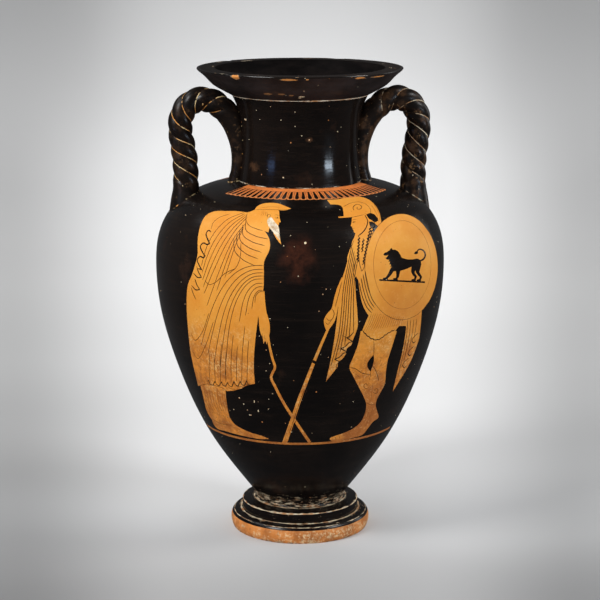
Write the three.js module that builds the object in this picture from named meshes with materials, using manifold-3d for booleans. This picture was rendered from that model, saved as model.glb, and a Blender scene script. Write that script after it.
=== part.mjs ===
// A thrown neck amphora with two twisted handles, in fired clay.
// Millimetres, +Z up. The origin is the middle of the ring that the foot
// rests on. The two handles lie along X, and the figured sides face -Y and +Y.
//
// The whole vessel is one body, as it was fired: a revolved wall, hollow and
// open at the mouth, with the handles luted to the neck and the shoulder.

import * as THREE from 'three';
import { mergeVertices } from 'three/addons/utils/BufferGeometryUtils.js';
import Module from 'manifold-3d';

// ---------------------------------------------------------------- dimensions
const HEIGHT = 600;          // foot ring to lip

// mouth and lip
const LIP_R = 130;           // outer edge of the flat lip
const LIP_INNER_R = 107;     // where the flat lip turns down into the mouth
const MOUTH_RING_R = 86.3;   // seam between mouth and neck
const MOUTH_RING_Z = 566.3;

// neck
const NECK_WAIST_R = 74.3;
const NECK_WAIST_Z = 503;
const NECK_BASE_R = 78.3;    // seam between neck and shoulder
const NECK_BASE_Z = 457.6;

// body
const BELLY_R = 184.3;
const BELLY_Z = 349;
const BODY_END_R = 60;       // lower end of the body, above its collar
const BODY_END_Z = 46.5;
const COLLAR_R = 56;         // collar between the body and the foot

// foot, in two degrees
const DISC_R = 75.6;         // upper disc
const DISC_TOP_Z = 38.6;
const DISC_EDGE_Z = 36;
const STEP_Z = 23.2;         // groove between the two discs
const FOOT_R = 90.5;         // widest part of the lower, rounded disc
const FOOT_WIDE_Z = 11;
const FOOT_ROUND = 8.5;      // how far its shoulder draws in
const FOOT_REST_R = 87.8;    // outer edge of the resting ring
const FOOT_REST_INNER_R = 69;
const FOOT_HOLLOW_Z = 25;    // height of the hollow under the foot

// wall
const WALL = 6.5;
const FLOOR_Z = 56;          // inside bottom of the vessel

// handles
const STRANDS = 3;
const TWIST_PITCH = 57;      // length of one full turn of the twist
const STRAND_DEPTH = 0.055;  // height of a strand, as a share of the radius
const TWIST_START = 3;       // where its first turn is counted from
const TWIST_FROM = 42;       // where the strands begin, along the handle
const TWIST_TO = 214;        // and where they die out, going down the neck

// fineness
const AROUND = 52;
const HANDLE_SIDES = 12;
const HANDLE_STEPS = 50;

// ------------------------------------------------------------------ profiles
const v2 = (r, z) => new THREE.Vector2(r, z);

// a smooth run through a few stations, with the same number of steps between
// each two of them, and without its first point
function run(stations, steps) {
  const curve = new THREE.SplineCurve(stations.map(([r, z]) => v2(r, z)));
  return curve.getPoints(steps * (stations.length - 1)).slice(1);
}

function outerProfile() {
  const p = [v2(0, FOOT_HOLLOW_Z)];
  // the hollow under the foot, down to the flat resting ring
  p.push(v2(46, FOOT_HOLLOW_Z - 3), v2(60, 14), v2(FOOT_REST_INNER_R, 0));
  p.push(v2(FOOT_REST_R, 0));
  // rounded lower disc
  const roundTop = STEP_Z - 0.6;
  p.push(v2(FOOT_R - 0.7, FOOT_WIDE_Z / 2));
  for (let i = 0; i <= 3; i += 1) {
    const a = (i / 3) * Math.PI * 0.5;
    p.push(v2(FOOT_R - FOOT_ROUND * (1 - Math.cos(a)), FOOT_WIDE_Z + (roundTop - FOOT_WIDE_Z) * Math.sin(a)));
  }
  p.push(v2(DISC_R + 0.6, STEP_Z));
  // upper disc
  p.push(v2(DISC_R - 0.6, STEP_Z + 1), v2(DISC_R, STEP_Z + 3), v2(DISC_R, DISC_EDGE_Z - 1));
  p.push(v2(DISC_R - 1, DISC_EDGE_Z));
  // collar
  p.push(v2(COLLAR_R + 1, DISC_TOP_Z), v2(COLLAR_R + 0.4, DISC_TOP_Z + 3.4), v2(BODY_END_R - 1, BODY_END_Z));
  // body, from the collar up over the belly to the shoulder
  p.push(...run([
    [BODY_END_R - 1, BODY_END_Z], [82.8, 77.6], [115.4, 125], [142.2, 178],
    [164.3, 237], [178.8, 291.6], [BELLY_R, BELLY_Z],
    [178.6, 395], [157.5, 428], [118.5, 448.6], [NECK_BASE_R, NECK_BASE_Z],
  ], 2));
  // neck
  p.push(...run([
    [NECK_BASE_R, NECK_BASE_Z], [75.6, 476], [NECK_WAIST_R, NECK_WAIST_Z],
    [75.6, 530], [79.6, 551], [MOUTH_RING_R - 0.5, MOUTH_RING_Z - 0.8],
  ], 1));
  // flaring mouth and flat lip
  p.push(...run([
    [MOUTH_RING_R, MOUTH_RING_Z], [99.9, 573.4], [112, 581.2],
    [119.8, 589.5], [LIP_R - 2.5, HEIGHT - 4],
  ], 1));
  p.push(v2(LIP_R, HEIGHT - 1.2), v2(LIP_R - 0.8, HEIGHT), v2(0, HEIGHT));
  return p;
}

// the hollow, with true walls between it and the outside
function hollowProfile() {
  const p = [v2(0, FLOOR_Z), v2(22, FLOOR_Z + 2)];
  p.push(...run([
    [22, FLOOR_Z + 2], [50, 71], [109, 128.6], [136, 181],
    [157.9, 239.2], [172.3, 292.6], [BELLY_R - WALL, BELLY_Z],
    [172.4, 392], [152.8, 422.4], [116.5, 441.6], [NECK_BASE_R - 4.6, NECK_BASE_Z - 6.8],
  ], 1));
  p.push(...run([
    [NECK_BASE_R - 4.6, NECK_BASE_Z - 6.8], [69.8, 466],
    [NECK_WAIST_R - WALL, NECK_WAIST_Z], [69.6, 534], [75.5, 557],
    [90, 577], [101, 588], [LIP_INNER_R - 1.6, HEIGHT - 2.4],
  ], 1));
  p.push(v2(LIP_INNER_R, HEIGHT), v2(LIP_INNER_R, HEIGHT + 10), v2(0, HEIGHT + 10));
  return p;
}

// --------------------------------------------------------------------- solids
const wasm = await Module();
wasm.setup();

function toSolid(geometry) {
  const g = geometry.clone();
  g.deleteAttribute('normal');
  g.deleteAttribute('uv');
  const m = mergeVertices(g, 1e-4);
  const solid = new wasm.Manifold(new wasm.Mesh({
    numProp: 3,
    vertProperties: new Float32Array(m.attributes.position.array),
    triVerts: new Uint32Array(m.index.array),
  }));
  return solid;
}

function toGeometry(solid) {
  const mesh = solid.getMesh();
  const g = new THREE.BufferGeometry();
  g.setAttribute('position', new THREE.BufferAttribute(new Float32Array(mesh.vertProperties), 3));
  g.setIndex(new THREE.BufferAttribute(new Uint32Array(mesh.triVerts), 1));
  g.computeVertexNormals();
  return g;
}

// a profile of (radius, height) turned about Z
function turned(profile) {
  const g = new THREE.LatheGeometry(profile, AROUND);
  g.rotateX(Math.PI / 2);
  return toSolid(g);
}

// [distance from the axis, height, radius of the handle] from the shoulder up,
// over the bend and down the neck
const HANDLE_ROUTE = [
  [143, 404, 23.5], [144.6, 418, 22.3], [145.4, 431, 19.4], [145, 445, 16.9], [145, 461, 15.7],
  [145.4, 480, 15.8], [147.6, 498, 15.6], [150.6, 516, 15.0], [151, 532, 15.0],
  [146, 547, 15.2], [136, 557, 15.4], [123, 560.5, 15.5], [110, 557.5, 15.4],
  [98, 549, 15.2], [86.5, 535, 15.0], [79, 517, 14.0], [75.6, 500, 12.8],
  [76, 484, 11.0], [79, 468, 9.2], [83, 455, 9.0], [84, 448, 8.0],
];

function handleSolid() {
  const route = new THREE.CatmullRomCurve3(
    HANDLE_ROUTE.map(([r, z]) => new THREE.Vector3(r, 0, z)), false, 'centripetal');
  route.arcLengthDivisions = 600;
  const length = route.getLength();
  // the radius at each share of the length, from the same stations
  const reach = HANDLE_ROUTE.map((_, i) => i / (HANDLE_ROUTE.length - 1));
  const across = new THREE.Vector3(0, 1, 0);
  const radiusAt = (t) => {
    const x = t * (reach.length - 1);
    const i = Math.min(Math.floor(x), reach.length - 2);
    return THREE.MathUtils.lerp(HANDLE_ROUTE[i][2], HANDLE_ROUTE[i + 1][2], x - i);
  };
  const g = new THREE.CylinderGeometry(1, 1, 1, HANDLE_SIDES, HANDLE_STEPS, false);
  const at = g.attributes.position;
  for (let i = 0; i < at.count; i += 1) {
    const x = at.getX(i), y = at.getY(i) + 0.5, z = at.getZ(i);
    const u = THREE.MathUtils.clamp(y, 0, 1);
    const t = route.getUtoTmapping(u);
    const point = route.getPoint(t);
    const along = route.getTangent(t);
    const out = new THREE.Vector3().crossVectors(across, along).normalize();
    const share = Math.hypot(x, z);
    const angle = Math.atan2(z, x);
    const s = u * length;
    const fade = THREE.MathUtils.smoothstep(s, TWIST_FROM, TWIST_FROM + 16)
      * (1 - THREE.MathUtils.smoothstep(s, TWIST_TO - 18, TWIST_TO));
    const turn = ((s + TWIST_START) / TWIST_PITCH) * 2 * Math.PI;
    const lobe = 1 - STRAND_DEPTH * fade * (1 - Math.cos(STRANDS * (angle + turn)));
    const r = radiusAt(t) * share * lobe;
    point.addScaledVector(out, r * Math.cos(angle)).addScaledVector(across, r * Math.sin(angle));
    at.setXYZ(i, point.x, point.y, point.z);
  }
  let solid = toSolid(g);
  if (solid.volume() < 0) {
    g.index.array.forEach((_, i, a) => { if (i % 3 === 0) [a[i], a[i + 1]] = [a[i + 1], a[i]]; });
    solid = toSolid(g);
  }
  return solid;
}

// ------------------------------------------------------------------- assembly
const handle = handleSolid();
const vessel = turned(outerProfile())
  .add(handle)
  .add(handle.rotate([0, 0, 180]))
  .subtract(turned(hollowProfile()));

const clay = new THREE.MeshStandardMaterial({ color: 0x17120f, roughness: 0.32, metalness: 0 });
const amphora = new THREE.Mesh(toGeometry(vessel), clay);
amphora.name = 'amphora';

const part = new THREE.Group();
part.add(amphora);

export default part;
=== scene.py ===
# Looks of a two-handled neck amphora: the vessel's fine surface, its painted
# figures, bands and drawn lines, and the stage it is shown on.  Metres, +Z up.
import math
import bpy
import numpy as np
from mathutils import Vector, Matrix
from mathutils.kdtree import KDTree
from mathutils.geometry import delaunay_2d_cdt


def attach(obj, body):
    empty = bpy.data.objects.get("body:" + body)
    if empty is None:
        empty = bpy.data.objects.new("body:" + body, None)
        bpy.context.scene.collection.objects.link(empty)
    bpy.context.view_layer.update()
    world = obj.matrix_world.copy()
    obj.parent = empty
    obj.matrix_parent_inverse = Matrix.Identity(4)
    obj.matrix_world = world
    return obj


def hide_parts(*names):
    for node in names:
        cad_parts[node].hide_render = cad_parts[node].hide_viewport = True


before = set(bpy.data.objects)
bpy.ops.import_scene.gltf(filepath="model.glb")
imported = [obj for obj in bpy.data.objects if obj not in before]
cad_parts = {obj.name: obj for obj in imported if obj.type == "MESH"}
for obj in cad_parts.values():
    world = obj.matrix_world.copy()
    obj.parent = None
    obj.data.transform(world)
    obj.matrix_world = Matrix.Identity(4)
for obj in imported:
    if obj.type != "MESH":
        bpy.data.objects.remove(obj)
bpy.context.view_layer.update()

MM = 0.001

# ------------------------------------------------------------------- camera
CAM_DIST, CAM_HEIGHT = 2.4097, 0.8291
CAM_PITCH = 0.2161
CAM_TURN = math.radians(4.5)
FOCAL_PX = 1911.9
AXIS_X = 299.7

cam_pos = np.array([-CAM_DIST * math.sin(CAM_TURN), -CAM_DIST * math.cos(CAM_TURN), CAM_HEIGHT])
cam_fwd = np.array([math.sin(CAM_TURN) * math.cos(CAM_PITCH), math.cos(CAM_TURN) * math.cos(CAM_PITCH), -math.sin(CAM_PITCH)])
cam_right = np.array([math.cos(CAM_TURN), -math.sin(CAM_TURN), 0.0])
cam_up = np.cross(cam_right, cam_fwd)

cam_data = bpy.data.cameras.new("camera")
cam = bpy.data.objects.new("camera", cam_data)
bpy.context.scene.collection.objects.link(cam)
cam_data.sensor_width = 36.0
cam_data.lens = FOCAL_PX / 600.0 * 36.0
cam_data.clip_start = 0.05
cam_data.clip_end = 50.0
rot = Matrix((cam_right, cam_up, -cam_fwd)).transposed()
cam.matrix_world = Matrix.Translation(cam_pos) @ rot.to_4x4()
bpy.context.scene.camera = cam


# ------------------------------------------------------------------ profile
def cubic(points, count):
    """A natural cubic through a few (radius, height) stations, evenly spaced."""
    p = np.array(points, float)
    t = np.concatenate([[0.0], np.cumsum(np.hypot(*np.diff(p, axis=0).T))])
    n = len(p)
    a = np.zeros((n, n))
    b = np.zeros((n, 2))
    a[0, 0] = a[-1, -1] = 1.0
    h = np.diff(t)
    for i in range(1, n - 1):
        a[i, i - 1], a[i, i], a[i, i + 1] = h[i - 1], 2 * (h[i - 1] + h[i]), h[i]
        b[i] = 6 * ((p[i + 1] - p[i]) / h[i] - (p[i] - p[i - 1]) / h[i - 1])
    m = np.linalg.solve(a, b)
    tt = np.linspace(0, t[-1], 4000)
    i = np.clip(np.searchsorted(t, tt, side="right") - 1, 0, n - 2)
    u, w = (t[i + 1] - tt)[:, None], (tt - t[i])[:, None]
    hi = h[i][:, None]
    q = (m[i] * u ** 3 + m[i + 1] * w ** 3) / (6 * hi) + (p[i] / hi - m[i] * hi / 6) * u + (p[i + 1] / hi - m[i + 1] * hi / 6) * w
    s = np.concatenate([[0.0], np.cumsum(np.hypot(*np.diff(q, axis=0).T))])
    at = np.linspace(0, s[-1], count)
    return np.stack([np.interp(at, s, q[:, 0]), np.interp(at, s, q[:, 1])], 1)


HEIGHT = 600.0
BODY = [(59, 46.5), (82.8, 77.6), (115.4, 125), (142.2, 178), (164.3, 237), (178.8, 291.6), (184.3, 349),
        (178.6, 395), (157.5, 428), (118.5, 448.6), (78.3, 457.6)]
NECK = [(78.3, 457.6), (75.6, 476), (74.3, 503), (75.6, 530), (79.6, 551), (85.8, 565.5)]
MOUTH = [(86.5, 566.2), (99.9, 573.4), (112, 581.2), (119.8, 589.5), (127.6, 596.2)]
IN_NECK = [(106.2, 599.2), (101, 588), (90, 577), (75.5, 557), (69.6, 534), (67.8, 503), (69.8, 466), (73.7, 450.8)]
IN_BODY = [(73.7, 450.8), (116.5, 441.6), (152.8, 422.4), (172.4, 392), (177.8, 349), (172.3, 292.6), (157.9, 239.2),
           (136, 181), (109, 128.6), (50, 71), (22, 58), (6, 56.1)]

under = cubic([(0.4, 25), (24, 24.4), (46, 21.8), (60, 14), (69, 0)], 14)
lower = cubic([(87.8, 0), (89.3, 3.6), (90.3, 7.6), (90.5, 11), (90.0, 15), (88.5, 18.5), (85.8, 21.2), (81.8, 22.7), (76.6, 23.1)], 30)
upper = np.array([(75.5, 22.6), (75.0, 23.3), (75.4, 24.6), (75.6, 26.5), (75.6, 29.5), (75.6, 32.5), (75.5, 34.6),
                  (75.1, 35.6), (74.2, 36.2)])
shelf = np.array([(70.5, 36.8), (66.0, 37.4), (62.0, 37.9), (59.2, 38.3), (57.6, 38.9), (56.8, 40.2), (56.9, 42.2),
                  (57.4, 44.0), (58.0, 45.3), (58.2, 46.0)])
body = cubic(BODY, 4001) 
body[:, 0] = np.minimum(body[:, 0], 184.3)
neck = cubic(NECK, 26)
mouth = cubic(MOUTH, 14)
lip = np.array([(128.9, 597.5), (129.7, 598.4), (130.0, 599.1), (129.7, 599.7), (129.0, 600.0), (122.0, 600.0),
                (115.0, 600.0), (109.5, 600.0), (107.3, 599.8)])
in_neck = cubic(IN_NECK, 30)
in_body = cubic(IN_BODY, 46)

# the outer wall as one dense line, with its length counted from the foot ring
outer = np.concatenate([lower, upper, shelf, body, neck[1:], mouth, lip]) * MM
outer_s = np.concatenate([[0.0], np.cumsum(np.hypot(*np.diff(outer, axis=0).T))])
i_body0 = len(lower) + len(upper) + len(shelf)
i_body1 = i_body0 + len(body) - 1
S0, S1 = outer_s[i_body0], outer_s[i_body1]
wall_hi = i_body1 + len(neck) - 1 + len(mouth)
wall = outer[i_body0:wall_hi]
wall_s = outer_s[i_body0:wall_hi]
S_NECK = float(outer_s[i_body1])
S_MOUTH = float(outer_s[i_body1 + len(neck) - 1])


def on_wall(s):
    """Radius and height of the wall at a profile length."""
    return np.interp(s, wall_s, wall[:, 0]), np.interp(s, wall_s, wall[:, 1])


def wall_normal(s, about=None):
    """Outward normal at a profile length; about says which stretch a corner belongs to."""
    e = 0.0006
    s = np.asarray(s, float)
    about = s if about is None else np.asarray(about, float)
    lo_b = np.where(about <= S_NECK, S0, np.where(about <= S_MOUTH, S_NECK, S_MOUTH))
    hi_b = np.where(about <= S_NECK, S_NECK, np.where(about <= S_MOUTH, S_MOUTH, wall_s[-1]))
    lo = np.clip(s - e, lo_b, hi_b - e)
    hi = np.clip(s + e, lo_b + e, hi_b)
    r0, z0 = on_wall(lo)
    r1, z1 = on_wall(hi)
    d = np.hypot(r1 - r0, z1 - z0)
    return (z1 - z0) / d, -(r1 - r0) / d


def to_wall(px):
    """Where the sight line through points of the picture meets the wall: angle, length."""
    px = np.asarray(px, float)
    ray = cam_fwd + ((px[:, 0] - AXIS_X) / FOCAL_PX)[:, None] * cam_right + ((300.0 - px[:, 1]) / FOCAL_PX)[:, None] * cam_up
    t = np.linspace(1.95, 2.75, 900)
    p = cam_pos + ray[:, None, :] * t[None, :, None]
    r = np.hypot(p[..., 0], p[..., 1])
    z = p[..., 2]
    rw = np.interp(z, wall[:, 1], wall[:, 0], left=-1, right=-1)
    gap = r - rw
    hit = gap < 0
    first = np.where(hit.any(1), hit.argmax(1), gap.argmin(1))
    first = np.clip(first, 1, len(t) - 1)
    k = np.arange(len(px))
    g0, g1 = gap[k, first - 1], gap[k, first]
    f = np.where(hit.any(1), g0 / np.maximum(g0 - g1, 1e-12), 1.0)
    tt = t[first - 1] + f * (t[first] - t[first - 1])
    q = cam_pos + ray * tt[:, None]
    s = np.interp(q[:, 2], wall[:, 1], wall_s)
    return np.arctan2(q[:, 1], q[:, 0]), s


# The drawing plane: angle along the wall, times a mean radius, by length up it
FLAT_R = 0.150


def flat(theta, s):
    return np.stack([np.asarray(theta) * FLAT_R, np.asarray(s)], 1)


def front(px):
    th, s = to_wall(px)
    th = np.where(th > math.pi / 2, th - 2 * math.pi, th)
    return flat(th, s)


REAR_R = 0.172


def rear(mm):
    """The reverse is laid out in millimetres from the middle of that side, by height."""
    p = np.asarray(mm, float) * MM
    s = np.interp(p[:, 1], wall[:, 1], wall_s)
    return flat(math.pi / 2 - p[:, 0] / REAR_R, s)


# ------------------------------------------------------------------ drawing
def smooth(points, closed=False, step=1.3):
    """A line through points. A third value 1 makes a point a sharp corner."""
    pts = [(p[0], p[1]) for p in points]
    sharp = [len(p) > 2 and p[2] == 1 for p in points]
    n = len(pts)
    out = []
    last = n if closed else n - 1
    for i in range(last):
        p1, p2 = np.array(pts[i]), np.array(pts[(i + 1) % n])
        p0 = np.array(pts[(i - 1) % n]) if (closed or i > 0) and not sharp[i] else 2 * p1 - p2
        p3 = np.array(pts[(i + 2) % n]) if (closed or i + 2 < n) and not sharp[(i + 1) % n] else 2 * p2 - p1
        a = max(np.linalg.norm(p1 - p0), 1e-6) ** 0.5
        b = max(np.linalg.norm(p2 - p1), 1e-6) ** 0.5
        c = max(np.linalg.norm(p3 - p2), 1e-6) ** 0.5
        m1 = (p2 - p1) + b * ((p1 - p0) / a - (p2 - p0) / (a + b))
        m2 = (p2 - p1) + b * ((p3 - p2) / c - (p3 - p1) / (b + c))
        k = max(1, int(math.ceil(np.linalg.norm(p2 - p1) / step)))
        for j in range(k):
            t = j / k
            h = np.array([2 * t ** 3 - 3 * t ** 2 + 1, t ** 3 - 2 * t ** 2 + t, -2 * t ** 3 + 3 * t ** 2, t ** 3 - t ** 2])
            out.append(h[0] * p1 + h[1] * m1 + h[2] * p2 + h[3] * m2)
    if not closed:
        out.append(np.array(pts[-1]))
    return np.array(out)


BLACK, CLAY, WHITE = 0, 1, 2
shapes = []      # (outline on the drawing plane, material), later ones on top
strokes = []     # (line on the drawing plane, width, material)
RELIEF, DILUTE, INK = 0, 1, 2


def shape(points, mat, place=front, step=1.3):
    shapes.append((place(smooth(points, True, step)), mat))


def stroke(points, width=0.62, kind=RELIEF, place=front, step=1.5):
    strokes.append((place(smooth(points, False, step)), width * MM, kind))


def family(a, b, count, width=0.55, kind=RELIEF, place=front, bend=0.0, trim=0.0):
    """A row of folds that goes over from one line to another."""
    a, b = smooth(a, step=1.0), smooth(b, step=1.0)
    m = 24
    def even(q):
        s = np.concatenate([[0], np.cumsum(np.hypot(*np.diff(q, axis=0).T))])
        return np.stack([np.interp(np.linspace(0, s[-1], m), s, q[:, 0]), np.interp(np.linspace(0, s[-1], m), s, q[:, 1])], 1)
    a, b = even(a), even(b)
    for i in range(count):
        t = i / max(count - 1, 1)
        w = t + bend * t * (1 - t)
        q = a * (1 - w) + b * w
        k0 = int(round(trim * m * (i % 2)))
        stroke([tuple(p) for p in q[k0:]], width, kind, place)


def band_line(points, w0, w1, place=front):
    """The outline of a bar along a line, w0 wide at its start and w1 at its end."""
    q = smooth(points, False, 1.3)
    d = np.gradient(q, axis=0)
    n = np.stack([-d[:, 1], d[:, 0]], 1) / np.maximum(np.hypot(d[:, 0], d[:, 1]), 1e-9)[:, None]
    w = np.linspace(w0, w1, len(q))[:, None] / 2
    return np.concatenate([q + n * w, (q - n * w)[::-1]])


def bar(points, w0, w1, mat, place=front):
    shapes.append((place(band_line(points, w0, w1)), mat))


def turned(points, centre, scale, angle, flip=False):
    """Points given in a figure's own units, put in the picture (y down)."""
    c, s = math.cos(angle), math.sin(angle)
    out = []
    for p in points:
        x, y = (-p[0] if flip else p[0]) * scale, -p[1] * scale
        out.append((centre[0] + c * x - s * y, centre[1] + s * x + c * y) + tuple(p[2:]))
    return out


# ------------------------------------------------------- bands and ground line
def arc_s(radius):
    """Profile length of the shoulder at a radius, near the neck."""
    up = wall[: i_body1 - i_body0 + 1]
    top = up[up[:, 1] > 0.40]
    return float(np.interp(radius, top[::-1, 0], wall_s[: len(up)][up[:, 1] > 0.40][::-1]))


TONGUE_PITCH = math.radians(4.2)
S_RING = arc_s(0.0900)       # below the plain ring
S_TONGUE = arc_s(0.1130)     # round ends of the tongues
S_BAND = arc_s(0.1145)       # end of the band


def tongue_band(middle, half):
    count = int(2 * half / TONGUE_PITCH)
    start = middle - count * TONGUE_PITCH / 2
    th = np.linspace(start, start + count * TONGUE_PITCH, count * 10 + 1)
    rim = flat(th, np.full_like(th, S_NECK - 0.5 * MM))
    off = np.abs(((th - start) / TONGUE_PITCH) % 1.0 - 0.5) * 2
    foot = flat(th[::-1], (S_BAND + 1.7 * MM * off ** 4)[::-1])
    shapes.append((np.concatenate([rim, foot]), CLAY))
    for k in range(count):
        c = start + (k + 0.5) * TONGUE_PITCH
        pts = []
        narrow, wide = 0.00105, 0.0024
        a0, a1 = narrow / 0.092, wide / 0.106
        drop = S_RING - S_TONGUE
        for i in range(5):
            f = i / 4
            pts.append((c - (a0 + (a1 - a0) * f), S_RING - drop * 0.80 * f))
        for i in range(1, 7):
            g = math.pi * i / 7
            pts.append((c - a1 * math.cos(g), S_TONGUE + drop * 0.20 * (1 - math.sin(g))))
        for i in range(5):
            f = 1 - i / 4
            pts.append((c + (a0 + (a1 - a0) * f), S_RING - drop * 0.80 * f))
        pts = np.array(pts)
        shapes.append((flat(pts[:, 0], pts[:, 1]), BLACK))
        if k:
            s = np.linspace(S_RING - 0.4 * MM, S_BAND + 2.6 * MM, 8)
            strokes.append((flat(np.full_like(s, c - TONGUE_PITCH / 2), s), 0.95 * MM, DILUTE))
    line = np.linspace(start, start + count * TONGUE_PITCH, 200)
    strokes.append((flat(line, np.full_like(line, S_RING)), 0.7 * MM, RELIEF))


def ground_line(th0, th1, z=0.1448, half=0.0018):
    s = float(np.interp(z, wall[:, 1], wall_s))
    th = np.linspace(th0, th1, 160)
    shapes.append((np.concatenate([flat(th, np.full_like(th, s + half)), flat(th[::-1], np.full_like(th, s - half))]), CLAY))


tongue_band(math.radians(-86), math.radians(65))
tongue_band(math.radians(90), math.radians(65))
ground_line(math.radians(-165.5), math.radians(-29))
ground_line(math.radians(32), math.radians(148))

# --------------------------------------------------- a head on usual proportions
# In head units: 1 is half the height from crown to chin, looking along +x.
HEAD = [(-0.52, -1.25, 1), (-0.62, -0.75), (-0.84, -0.32), (-0.95, 0.12), (-0.87, 0.56), (-0.54, 0.92), (-0.04, 1.05),
        (0.42, 0.94), (0.67, 0.66), (0.76, 0.38), (0.85, 0.08), (0.97, -0.17), (0.985, -0.245, 1), (0.85, -0.31, 1),
        (0.88, -0.40), (0.895, -0.45, 1), (0.82, -0.50, 1), (0.865, -0.57), (0.79, -0.665), (0.82, -0.80), (0.71, -0.93),
        (0.45, -0.94), (0.20, -0.80), (0.12, -1.30, 1)]
EYE = [[(0.44, 0.06), (0.56, 0.135), (0.70, 0.12), (0.80, 0.05)], [(0.48, 0.03), (0.62, 0.0), (0.74, 0.03)],
       [(0.36, 0.25), (0.55, 0.315), (0.78, 0.27)]]
IRIS = [(0.62, 0.115), (0.69, 0.09), (0.66, 0.03), (0.60, 0.05)]
LIPS = [(0.83, -0.495), (0.72, -0.48), (0.66, -0.495)]
NOSTRIL = [(0.86, -0.285), (0.82, -0.235), (0.84, -0.19)]
EAR = [(-0.16, -0.10), (-0.24, 0.08), (-0.14, 0.24), (0.0, 0.20), (0.02, 0.06), (-0.08, -0.02), (-0.10, -0.12)]


def head_lines(centre, unit, angle, flip, place=front, ear=True, width=0.5):
    for q in EYE:
        stroke(turned(q, centre, unit, angle, flip), width, RELIEF, place, 1.0)
    shape(turned(IRIS, centre, unit, angle, flip), BLACK, place, 0.7)
    stroke(turned(LIPS, centre, unit, angle, flip), width, RELIEF, place, 1.0)
    stroke(turned(NOSTRIL, centre, unit, angle, flip), width * 0.8, RELIEF, place, 1.0)
    if ear:
        stroke(turned(EAR, centre, unit, angle, flip), width, RELIEF, place, 1.0)


# ----------------------------------------------------------- the draped elder
shape([(196, 368), (200, 385), (203.5, 399), (206.5, 411), (211, 419, 1), (220, 423.5), (231.5, 425.5, 1), (228, 412),
       (226, 400), (225, 386), (224, 372)], CLAY)
shape([(211, 416.5, 1), (213, 423.5), (217, 428.6), (225, 431), (237, 434.5), (250, 437.4), (262, 439.2), (268.8, 438.9, 1),
       (262, 436.0), (251, 432.8), (241.5, 428.6), (234, 423.8), (229.5, 417.5, 1)], CLAY)
shape([(247, 212.5, 1), (238, 211.2), (226, 211), (213, 211.6), (205.2, 216), (200, 226), (197.4, 240), (197.2, 255),
       (194.4, 266), (191.2, 276), (187.8, 284), (186.4, 297), (186.6, 312), (187.8, 330), (190, 350), (193.5, 368),
       (198, 386, 1), (207, 384.4), (214, 386), (222, 388), (226.5, 391.2, 1), (233, 390.5), (241, 388.6, 1),
       (246, 385.6), (250, 384.6, 1), (254.6, 383.8, 1), (253.6, 370), (253.8, 355), (255, 340), (256.8, 325), (258.5, 312),
       (261, 300), (263.2, 288), (263.6, 275), (263.8, 262), (266, 256.5), (268.8, 251), (269.8, 244), (268.4, 237.5),
       (265, 232), (260.5, 228.5, 1), (252, 226), (247, 219)], CLAY)
shape([(255.4, 292.5, 1), (264.2, 291, 1), (265, 303), (266.4, 313), (268.6, 320), (269.6, 327), (269.2, 334),
       (267.6, 340), (266.4, 344.4, 1), (264.8, 340.5), (263.2, 344.2, 1), (262.4, 338), (260.2, 333), (259.0, 326),
       (258.4, 319), (256.5, 309), (254.4, 300)], CLAY)
E_AT, E_UNIT, E_TILT = (269.6, 217.2), 11.6, math.radians(11)
shape(turned(HEAD, E_AT, E_UNIT, E_TILT), CLAY)
shape([(243.5, 213.5, 1), (250, 211.6), (257, 209.5), (266, 214), (268, 226), (261.5, 231, 1), (252, 228)], CLAY)
# a long pointed beard, its tip in plain clay and the rest in added white
shape(turned([(0.55, -0.95, 1), (0.80, -0.70), (0.98, -1.05), (1.20, -1.60), (1.40, -2.12, 1), (1.05, -1.85), (0.72, -1.50),
              (0.55, -1.25)], E_AT, E_UNIT, E_TILT), CLAY)
shape(turned([(-0.14, -0.12, 1), (0.10, 0.02), (0.32, -0.16), (0.56, -0.38), (0.80, -0.56, 1), (0.94, -0.76), (1.08, -1.24),
              (1.24, -1.80, 1), (0.92, -1.58), (0.52, -1.20), (0.14, -0.88), (-0.16, -0.46)], E_AT, E_UNIT, E_TILT), WHITE)
# low cap with a narrow brim
shape([(254.2, 209.6, 1), (257.4, 206.0), (263, 203.5), (270, 202.8), (278, 203.5), (285, 206), (291, 208.7, 1),
       (284.5, 210.4), (276, 209.9), (266, 209.6), (259, 210.2)], CLAY)
stroke([(254.4, 209.8), (264, 209.4), (276, 209.7), (285, 209.9), (290.6, 208.9)], 0.6)
stroke([(259.5, 208.2), (268, 206.9), (280, 207.2)], 0.4, DILUTE)
head_lines(E_AT, E_UNIT, E_TILT, False)
for k in range(5):   # strands of the beard
    a, b = 0.02 + 0.15 * k, 0.46 + 0.12 * k
    stroke(turned([(a, -0.18 - 0.08 * k), (a + 0.16, -0.62 - 0.06 * k), (b + 0.16, -1.08 - 0.05 * k)], E_AT, E_UNIT, E_TILT), 0.35, DILUTE)
# locks of hair under the cap, over a band
for k in range(4):
    stroke(turned([(-0.78 + 0.14 * k, 0.42), (-0.72 + 0.15 * k, 0.20), (-0.78 + 0.17 * k, 0.02)], E_AT, E_UNIT, E_TILT), 0.4, DILUTE)
stroke([(247, 213.2), (245.6, 219.5), (248.4, 225.0), (255.4, 228.6), (262.4, 230.6)], 0.85)
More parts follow.
